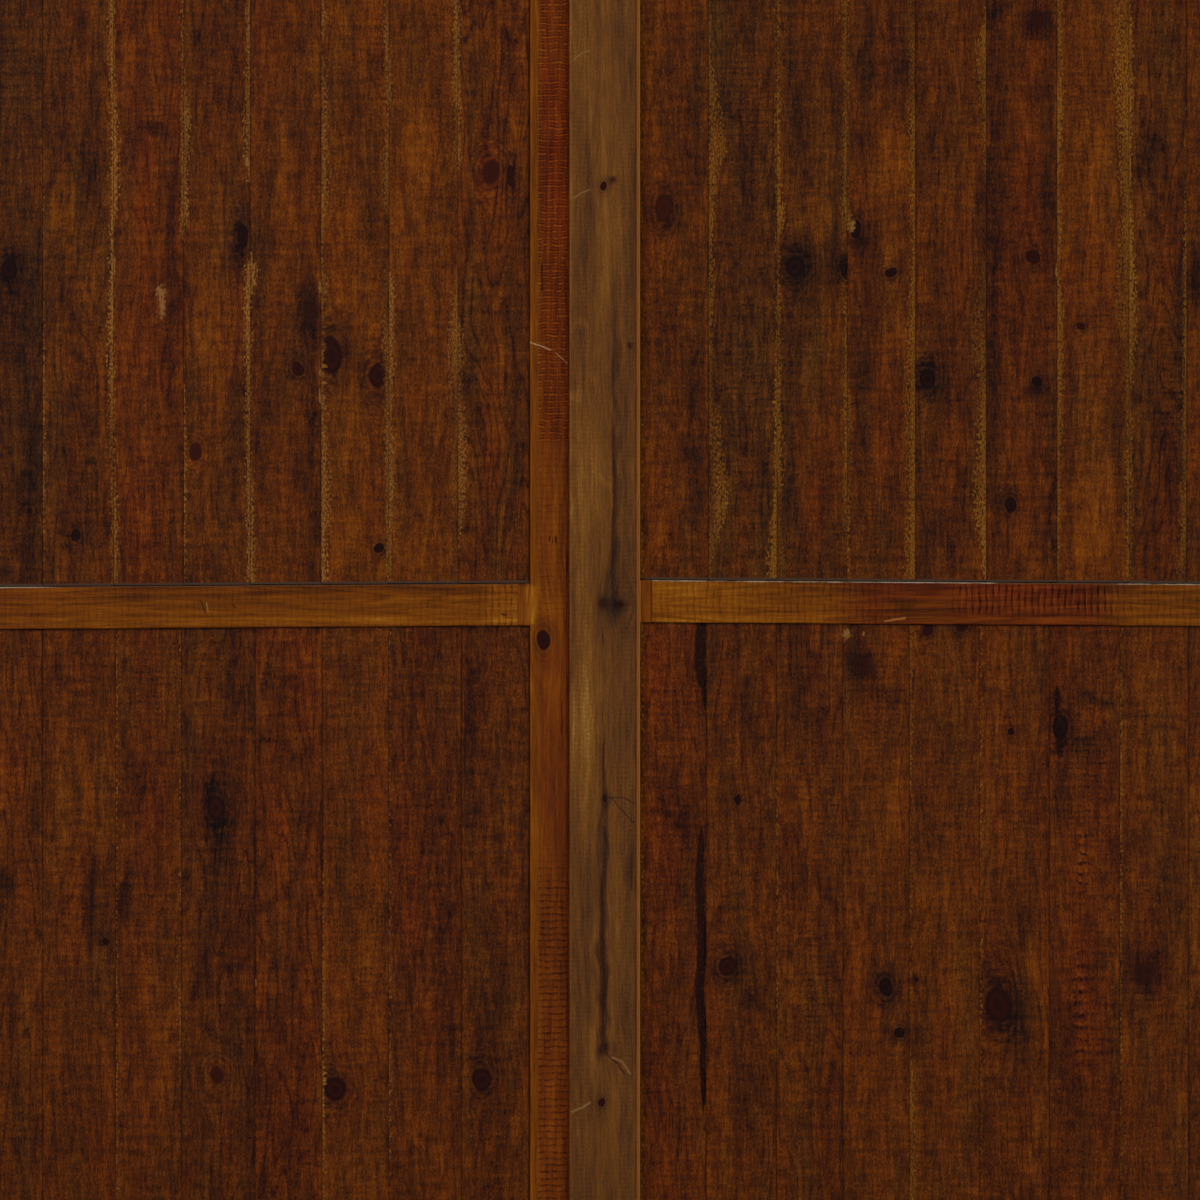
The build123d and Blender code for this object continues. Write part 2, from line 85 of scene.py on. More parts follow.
class Shader:
    """One material, whose nodes are made by the methods below."""

    def __init__(self, name):
        self.material = bpy.data.materials.new(name)
        self.material.use_nodes = True
        self.tree = self.material.node_tree
        self.tree.nodes.clear()
        output = self.tree.nodes.new("ShaderNodeOutputMaterial")
        self.surface = self.tree.nodes.new("ShaderNodeBsdfPrincipled")
        self.tree.links.new(self.surface.outputs[0], output.inputs[0])
        self.position = Field(self, self.tree.nodes.new("ShaderNodeTexCoord").outputs["Object"])

    def plug(self, socket, value):
        if isinstance(value, Field):
            self.tree.links.new(value.socket, socket)
        else:
            socket.default_value = value

    def math(self, operation, *values, clamp=False):
        node = self.tree.nodes.new("ShaderNodeMath")
        node.operation = operation
        node.use_clamp = clamp
        for socket, value in zip(node.inputs, values):
            self.plug(socket, value)
        return Field(self, node.outputs[0])

    def vector(self, operation, *values, output=0):
        node = self.tree.nodes.new("ShaderNodeVectorMath")
        node.operation = operation
        for socket, value in zip(node.inputs, values):
            self.plug(socket, value)
        return Field(self, node.outputs[output])

    def split(self, vector):
        node = self.tree.nodes.new("ShaderNodeSeparateXYZ")
        self.plug(node.inputs[0], vector)
        return [Field(self, socket) for socket in node.outputs]

    def join(self, x, y, z):
        node = self.tree.nodes.new("ShaderNodeCombineXYZ")
        for socket, value in zip(node.inputs, (x, y, z)):
            self.plug(socket, value)
        return Field(self, node.outputs[0])

    def scaled(self, vector, scale, shift=(0, 0, 0)):
        return self.vector("MULTIPLY_ADD", vector, scale, shift)

    def noise(self, vector, scale, shift, detail, roughness=0.55, dimensions="2D"):
        """Noise about zero, mostly between -1 and 1, with features of 1/scale metres."""
        node = self.tree.nodes.new("ShaderNodeTexNoise")
        node.noise_dimensions = dimensions
        node.inputs["Scale"].default_value = 1.0
        node.inputs["Detail"].default_value = detail
        node.inputs["Roughness"].default_value = roughness
        self.plug(node.inputs["Vector"], self.scaled(vector, scale, shift))
        return self.math("MULTIPLY_ADD", Field(self, node.outputs["Fac"]), 3.2, -1.6)

    def step(self, value, low, high):
        """Rises smoothly from 0 at low to 1 at high, or falls where high is below low."""
        node = self.tree.nodes.new("ShaderNodeMapRange")
        node.interpolation_type = "SMOOTHSTEP"
        self.plug(node.inputs["Value"], value)
        self.plug(node.inputs["From Min"], low)
        self.plug(node.inputs["From Max"], high)
        return Field(self, node.outputs[0])

    def mix(self, factor, first, second):
        """Mixes two colours."""
        node = self.tree.nodes.new("ShaderNodeMix")
        node.data_type = "RGBA"
        self.plug(node.inputs[0], factor)
        self.plug(node.inputs[6], first)
        self.plug(node.inputs[7], second)
        return Field(self, node.outputs[2])

    def blend(self, factor, first, second):
        """Mixes two vectors."""
        node = self.tree.nodes.new("ShaderNodeMix")
        node.data_type = "VECTOR"
        self.plug(node.inputs[0], factor)
        self.plug(node.inputs[4], first)
        self.plug(node.inputs[5], second)
        return Field(self, node.outputs[1])

    def ramp(self, value, stops):
        """A colour or number looked up along stops of (place, colour or number)."""
        node = self.tree.nodes.new("ShaderNodeValToRGB")
        elements = node.color_ramp.elements
        while len(elements) < len(stops):
            elements.new(0.5)
        for element, (place, colour) in zip(elements, sorted(stops, key=lambda stop: stop[0])):
            element.position = place
            element.color = colour if isinstance(colour, tuple) else (colour, colour, colour, 1.0)
        self.plug(node.inputs[0], value)
        return Field(self, node.outputs[0])

    def bump(self, height, distance):
        node = self.tree.nodes.new("ShaderNodeBump")
        node.inputs["Distance"].default_value = distance
        self.plug(node.inputs["Height"], height)
        self.plug(self.surface.inputs["Normal"], Field(self, node.outputs[0]))

    def finish(self, colour, roughness, specular, metallic=0.0):
        self.plug(self.surface.inputs["Base Color"], colour)
        self.plug(self.surface.inputs["Roughness"], roughness)
        self.surface.inputs["Specular IOR Level"].default_value = specular
        self.surface.inputs["Metallic"].default_value = metallic
        return self.material


def colour(red, green, blue):
    """A colour given as it shows on a screen, 0 to 255."""

    def linear(value):
        value /= 255
        return value / 12.92 if value <= 0.04045 else ((value + 0.055) / 1.055) ** 2.4

    return linear(red), linear(green), linear(blue), 1.0


def shades(*colours):
    """Stops at even places for a row of colours."""
    return [(number / (len(colours) - 1), colour(*shade)) for number, shade in enumerate(colours)]


# Stain colours by tone, from soaked dark to rubbed light
BROWN = shades((16, 7, 7), (42, 19, 9), (67, 31, 8), (93, 45, 7), (115, 60, 9), (138, 80, 20))
RED = shades((20, 5, 6), (47, 15, 8), (74, 26, 8), (100, 39, 9), (120, 54, 11), (140, 72, 20))
OLIVE = shades((13, 10, 8), (37, 22, 11), (60, 36, 13), (84, 51, 16), (106, 68, 25), (132, 92, 42))
GOLD = shades((22, 8, 4), (48, 22, 5), (76, 38, 6), (102, 53, 6), (124, 71, 10), (150, 99, 28))
GREYED = shades((24, 15, 11), (46, 28, 17), (70, 41, 20), (92, 55, 22), (113, 73, 28), (142, 103, 50))
RUBBED = shades((58, 30, 9), (100, 60, 20), (136, 92, 40))
RUBBED_GOLD = shades((58, 30, 8), (98, 60, 14), (128, 84, 26))
BARE_WOOD = colour(126, 86, 44)
WOOD_SPECULAR = 0.03

# How a patch shifts tone, red and olive
PATCH_KINDS = {
    "dark": (-0.22, 0.0, 0.1),
    "dusk": (-0.15, -0.1, 0.2),
    "warm": (0.15, -0.1, 0.0),
    "red": (0.02, 0.45, -0.2),
    "olive": (0.02, -0.2, 0.6),
    "ochre": (0.24, -0.3, 0.1),
}


# Distance given to the back, out of reach of the marks on the front
FAR = 9.0
# How far a worn edge draws back, in pixels, where its profile says 0
NO_WEAR = 6.0


class Wood:
    """Gathers the look of one piece of timber and makes its material."""

    def __init__(self, name, seed, upright=True, tone=0.45, red=0.2, olive=0.0, lean=0.0):
        self.shader = s = Shader(name)
        draw = random.Random(seed)
        self.shift = tuple(draw.uniform(-40, 40) for _ in range(3))
        x, y, z = s.split(s.position)
        self.x, self.z = x, z
        self.front = s.step(y, 0.03, 0.02)
        behind = 1.0 - self.front
        self.across, self.along = (x, z) if upright else (z, x)
        if lean:
            self.across = x * math.cos(lean) - z * math.sin(lean)
            self.along = x * math.sin(lean) + z * math.cos(lean)
        self.upright = upright
        self.flat = s.join(x, z, behind)
        wobble_x = s.noise(self.flat, (34, 16, 0), self.shift, 1, 0.7) * 0.01
        wobble_z = s.noise(self.flat, (28, 13, 0), self.shift[::-1], 0) * 0.0135
        self.loose = s.join(x + wobble_x, z + wobble_z, behind)
        self.calm = s.blend(0.25, self.flat, self.loose)
        through = self.across + y
        self.straight = s.join(through, self.along, 0.0)
        wander = s.noise(self.straight, (9, 1.9, 0), self.shift, 0) * 0.0042
        self.grain = s.join(through + wander, self.along, 0.0)
        self.look = (tone, red, olive)
        self.height = 0.0
        self.wear = None
        self.jitter = None
        self.flakes = None
        self.ragged = None
        self.covers = []

    def add(self, amount, tone=0.0, red=0.0, olive=0.0):
        """Shifts tone, red and olive."""
        self.look = self.shader.vector("MULTIPLY_ADD", amount, (tone, red, olive), self.look)

    def turn(self, mask, tone, red):
        """Turns tone and red into given values, and olive into 0, where the mask is 1."""
        self.look = self.shader.blend(mask, self.look, (tone, red, 0.0))

    def near(self, column, row, half_width, half_height, source=None):
        """Distance from a place on the front, in half widths and half heights."""
        s = self.shader
        scale = (1 / (half_width * PIXEL), 1 / (half_height * PIXEL), FAR)
        shift = (-place_x(column) * scale[0], -place_z(row) * scale[1], 0)
        return s.vector("LENGTH", s.scaled(source or self.loose, scale, shift), output=1)

    def band(self, low, high, soft=0.6, rows=False):
        """1 between two columns or two rows of the photograph."""
        s = self.shader
        place = self.z if rows else self.x
        edges = sorted([place_z(low), place_z(high)] if rows else [place_x(low), place_x(high)])
        rise = s.step(place, edges[0] - soft * PIXEL, edges[0] + soft * PIXEL)
        return rise * s.step(place, edges[1] + soft * PIXEL, edges[1] - soft * PIXEL)

    def tint(self, rows):
        """Shifts tone, red and olive between two columns, between two rows, or where both cross."""
        for across, along, shift in rows:
            mask = self.band(*across) if across else self.band(*along, rows=True)
            if across and along:
                mask = mask * self.band(*along, rows=True)
            self.add(mask, *shift)

    def patch(self, column, row, half_width, half_height, kind, strength):
        mask = self.shader.step(self.near(column, row, half_width, half_height), 1.5, 0.15)
        shift = tuple(strength * value for value in PATCH_KINDS[kind])
        self.stain = self.shader.vector("MULTIPLY_ADD", mask, shift, self.stain)

    def soak(self, patches):
        """Stain patches, each with a broken edge."""
        self.stain = (0.0, 0.0, 0.0)
        for patch in patches:
            self.patch(*patch)
        if patches:
            self.look = self.shader.vector("MULTIPLY_ADD", self.stain, self.broken, self.look)

    def part_grain(self, column, row, half_width, half_height):
        """Makes the grain flow round a knot."""
        s = self.shader
        centre = (place_x(column), place_z(row), 0)
        if not self.upright:
            centre = (centre[1], centre[0], 0)
        scale = (1 / (half_width * PIXEL), 0.5 / (half_height * PIXEL), 0)
        offset = s.vector("SUBTRACT", self.grain, centre)
        reach = s.step(s.vector("LENGTH", s.scaled(offset, scale), output=1), 3.4, 0.0)
        shift = s.vector("MULTIPLY", offset, s.join(reach * -0.85, reach * 0.1, 0.0))
        self.grain = s.vector("ADD", self.grain, shift)

    def base(self, blotch, streak, fibre, speck, wash=0.0, short=1.0, lines=0.0, hue=1.0):
        """The stain's blotches and the grain's streaks, fibres, specks and growth lines."""
        s, shift = self.shader, self.shift
        broad = s.noise(self.flat, (8, 2.2, 0) if self.upright else (2.2, 8, 0), shift, 1, 0.6) * 0.86
        self.add(broad, tone=blotch * 0.4)
        middle = s.noise(self.grain, (38, 3.4 * short, 0), shift, 1, 0.66) * 0.86
        self.add(middle, tone=blotch * 0.6)
        self.broken = s.math("MULTIPLY_ADD", middle, 0.35, 0.85)
        self.add(s.noise(self.grain, (125, 7 * short, 0), shift, 1, 0.7), tone=streak * 0.9)
        self.middle = middle
        self.broad = broad
        self.add(s.noise(self.grain, (330, 30 * short, 0), shift, 0), tone=fibre * 0.7)
        self.dots = s.noise(self.grain, (430, 230, 0), shift, 0) * 0.56
        self.add(self.dots, tone=speck)
        if wash:
            self.add(s.noise(self.flat, (24, 88, 0), shift[::-1], 1, 0.7), tone=wash)
        growth = s.noise(self.grain, (20, 1.5 * short, 0), shift[::-1], 1, 0.5)
        self.add(growth, red=0.2 * hue)
        self.add(s.noise(self.grain, (26, 1.8 * short, 0), shift[1:] + shift[:1], 0), olive=0.2 * hue)
        if lines:
            line = s.math("POWER", s.math("SINE", growth * 15.0) * 0.5 + 0.5, 5.0)
            self.add(line * self.broken, tone=-lines, red=lines)
        shape = (430, 34, 0) if self.upright else (34, 430, 0)
        self.height = s.noise(self.flat, shape, shift, 0) * 0.6

    def saw_lines(self, mask, pitch, amount, height=6.0, second=0.6):
        """Fine lines across the grain where the saw chattered; the pitch is in pixels."""
        s = self.shader
        if self.jitter is None:
            self.jitter = s.noise(self.flat, (60, 40, 0), self.shift, 0) * 0.9
            self.worn_off = s.step(s.noise(self.flat, (150, 60, 0), self.shift[::-1], 0), -0.9, 0.7)
        phase = s.math("MULTIPLY_ADD", self.along, 2 * math.pi / (pitch * PIXEL), self.jitter)
        wave = s.math("SINE", phase) + s.math("SINE", phase * 2.0 + 1.1) * second
        wave = wave * mask
        self.add(wave * self.worn_off, tone=amount)
        if height:
            self.height = self.height + wave * (amount * height)

    def saw_zones(self, zones):
        """Parts of a board's face where the saw's marks show, gathered by their pitch."""
        s = self.shader
        for pitch in sorted({zone[4] for zone in zones}):
            total = 0.0
            for column, row, half_width, half_height, other, amount in zones:
                if other == pitch:
                    mask = s.step(self.near(column, row, half_width, half_height, self.flat), 1.4, 0.4)
                    total = s.math("MULTIPLY_ADD", mask, amount, total)
            self.saw_lines(total, pitch, 1.0, 0.0)

    def knot(self, column, row, half_width, half_height, kind):
        s = self.shader
        distance = self.near(column, row, half_width, half_height, self.calm)
        halo = s.step(distance, 3.4, 0.4) * self.broken
        if kind == "soft":
            self.add(halo, tone=-0.15)
            self.turn(s.step(distance, 1.7, 0.2) * 0.75, tone=0.12, red=0.6)
            return
        if kind == "ringed":
            rings = s.math("SINE", distance * 11.0)
            self.add(s.step(distance, 2.9, 2.2) * rings, tone=-0.05, red=0.06)
            self.add(s.step(distance, 2.6, 1.6), red=0.2)
            self.turn(s.step(distance, 1.15, 0.7), tone=0.17, red=0.8)
            return
        self.add(halo, tone=-0.18, olive=0.1)
        rings = s.math("SINE", distance * 9.0)
        self.add(s.step(distance, 3.4, 1.3) * rings, tone=-0.05, red=0.03)
        depth = {"dark": 0.08, "black": 0.02, "red": 0.17}[kind]
        heart = s.step(distance, 1.12, 0.85)
        self.turn(heart, tone=depth, red=0.5 if kind == "black" else 0.85)
        self.add(heart * rings, tone=-0.035, red=-0.15)

    def edges_of_wear(self):
        """Shared raggedness of splits and worn edges, and the flakes of stain left on them."""
        if self.ragged is None:
            s = self.shader
            self.seen_x = s.math("MULTIPLY_ADD", self.front, -FAR, self.x + FAR)
            self.sway = s.noise(self.flat, (0, 11, 0), self.shift, 0) * 0.7
            self.ragged = s.noise(self.flat, (95, 40, 0), self.shift, 1, 0.75)
            self.flakes = s.noise(self.grain, (320, 160, 0), self.shift[::-1], 0)
            kept = s.step(s.math("MULTIPLY_ADD", self.middle, 1.6, self.broad), -2.2, 0.7)
            self.covering = kept * self.front * 0.92

    def crack(self, column, top, bottom, half_width, depth, sway=2.0):
        """A dark split along the grain between two rows."""
        s = self.shader
        self.edges_of_wear()
        middle, half = (top + bottom) / 2, (bottom - top) / 2
        lengthwise = s.math("ABSOLUTE", (self.z - place_z(middle)) * (1 / (half * PIXEL)))
        bend = s.math("MULTIPLY_ADD", self.sway, sway * PIXEL, self.seen_x - place_x(column))
        bend = s.math("MULTIPLY_ADD", self.ragged, 0.7 * PIXEL, bend)
        off = s.math("ABSOLUTE", bend) * (1 / (half_width * PIXEL))
        inside = off + s.math("POWER", lengthwise, 6.0) * 0.9
        mask = s.step(inside, 1.2, 0.75) * depth
        self.turn(mask, tone=0.03, red=0.35)
        if half_width >= WIDE_CRACK:
            self.add(mask * s.step(self.dots, 0.1, 0.8), tone=0.34, olive=0.3)

    def worn_edge(self, edge, inward, profile):
        """A pale rubbed edge at x = edge, with a width in pixels for each row of the profile."""
        s = self.shader
        self.edges_of_wear()
        top, bottom = profile[0][0], profile[-1][0]
        widest = max(width for _, width in profile)
        span = widest + NO_WEAR
        stops = [
            ((row - top) / (bottom - top), (width + NO_WEAR if width else 0.0) / span)
            for row, width in profile
        ]
        stretch = 1 / ((bottom - top) * PIXEL)
        place = s.math("MULTIPLY_ADD", self.z, -stretch, place_z(top) * stretch)
        width = s.math("MULTIPLY_ADD", s.ramp(place, stops), span, -NO_WEAR)
        depth = s.math("MULTIPLY_ADD", self.x, inward / PIXEL, -edge * inward / PIXEL)
        fringe = s.step(s.math("MULTIPLY_ADD", self.ragged, 1.8, width) - depth, -3.2, 3.0)
        core = s.step(s.math("MULTIPLY_ADD", width, -0.5, depth), 1.5, -2.0)
        if widest > 12:
            core = core * s.step(width, 16.0, 8.0)
        mask = s.step(s.math("MULTIPLY_ADD", core, 0.9, fringe) + self.flakes, 0.8, 1.25)
        mask = mask * s.math("MULTIPLY", fringe, 4.0, clamp=True)
        self.wear = mask if self.wear is None else s.math("MAXIMUM", self.wear, mask)

    def paint_over(self, mask, shade):
        """A colour put on after the stain: dust, bare wood and marks, and in places painted light or
        shade.
        """
        self.covers.append((mask * self.front, shade))

    def chips(self, places):
        """Small pale places where the stain has come off."""
        s = self.shader
        self.edges_of_wear()
        bare = 0.0
        for place in places:
            off = s.math("MULTIPLY_ADD", self.flakes, 0.5, self.near(*place, self.flat))
            bare = s.math("MAXIMUM", s.step(off, 1.4, 0.5), bare)
        self.paint_over(bare * 0.7, BARE_WOOD)

    def scratch(self, points, half_width, shade):
        """A thin bent line through places of the photograph."""
        s = self.shader
        closest = None
        for start, end in zip(points, points[1:]):
            a = Vector((place_x(start[0]), place_z(start[1]), 0))
            d = Vector((place_x(end[0]), place_z(end[1]), 0)) - a
            offset = s.vector("SUBTRACT", self.flat, tuple(a))
            reach = s.vector("DOT_PRODUCT", offset, tuple(d / d.length_squared), output=1)
            reach = s.math("MULTIPLY", reach, 1.0, clamp=True)
            off = s.vector("SUBTRACT", offset, s.scaled(s.join(reach, reach, reach), tuple(d)))
            distance = s.vector("LENGTH", off, output=1)
            closest = distance if closest is None else s.math("MINIMUM", closest, distance)
        self.edges_of_wear()
        ragged = self.flakes * (0.25 * half_width * PIXEL)
        reach = half_width * PIXEL
        self.paint_over(s.step(closest + ragged, 1.3 * reach, 0.4 * reach) * 0.85, shade)

    def material(self, roughness=0.66, relief=0.0005, third=OLIVE, rubbed=None):
        s = self.shader
        tone, red, olive = s.split(self.look)
        shade = s.mix(s.math("ADD", red, 0.0, clamp=True), s.ramp(tone, BROWN), s.ramp(tone, RED))
        shade = s.mix(s.math("ADD", olive, 0.0, clamp=True), shade, s.ramp(tone, third))
        gloss = s.math("MULTIPLY_ADD", self.middle, 0.05, roughness)
        if self.wear is not None:
            tint = s.math("MULTIPLY_ADD", self.broad, 0.25, 0.5)
            grit = s.math("MULTIPLY_ADD", self.dots, 0.6, tint)
            shade = s.mix(self.wear * self.covering, shade, s.ramp(grit, rubbed))
        for mask, cover in self.covers:
            shade = s.mix(mask, shade, cover)
        if relief:
            s.bump(self.height, relief)
        return s.finish(shade, gloss, WOOD_SPECULAR)


# Looks of the boards, from the meeting stile outwards: tone, red, olive, strength of the growth lines
BOARD_LOOKS = {
    ("left", "upper"): (
        (0.44, 0.30, 0.10, 0.12), (0.50, 0.15, 0.00, 0.00), (0.48, 0.15, 0.00, 0.00),
        (0.44, 0.25, 0.00, 0.00), (0.42, 0.20, 0.05, 0.04), (0.42, 0.55, 0.00, 0.05),
        (0.42, 0.20, 0.15, 0.06), (0.34, 0.15, 0.30, 0.00), (0.42, 0.25, 0.10, 0.05),
    ),
    ("left", "lower"): (
        (0.38, 0.30, 0.10, 0.03), (0.39, 0.50, 0.00, 0.04), (0.45, 0.30, 0.00, 0.00),
        (0.41, 0.55, 0.00, 0.09), (0.35, 0.30, 0.10, 0.05), (0.42, 0.35, 0.00, 0.00),
        (0.41, 0.30, 0.00, 0.00), (0.41, 0.35, 0.05, 0.08), (0.42, 0.25, 0.10, 0.05),
    ),
    ("right", "upper"): (
        (0.44, 0.25, 0.00, 0.00), (0.37, 0.20, 0.35, 0.05), (0.42, 0.15, 0.20, 0.00),
        (0.43, 0.25, 0.05, 0.00), (0.40, 0.35, 0.10, 0.03), (0.41, 0.45, 0.00, 0.00),
        (0.50, 0.20, 0.00, 0.00), (0.41, 0.25, 0.15, 0.09), (0.44, 0.25, 0.10, 0.04),
    ),
    ("right", "lower"): (
        (0.42, 0.55, 0.00, 0.05), (0.42, 0.30, 0.05, 0.04), (0.41, 0.30, 0.05, 0.06),
        (0.43, 0.30, 0.00, 0.00), (0.44, 0.25, 0.05, 0.00), (0.43, 0.30, 0.00, 0.05),
        (0.40, 0.50, 0.00, 0.00), (0.41, 0.25, 0.10, 0.00), (0.43, 0.25, 0.10, 0.04),
    ),
}

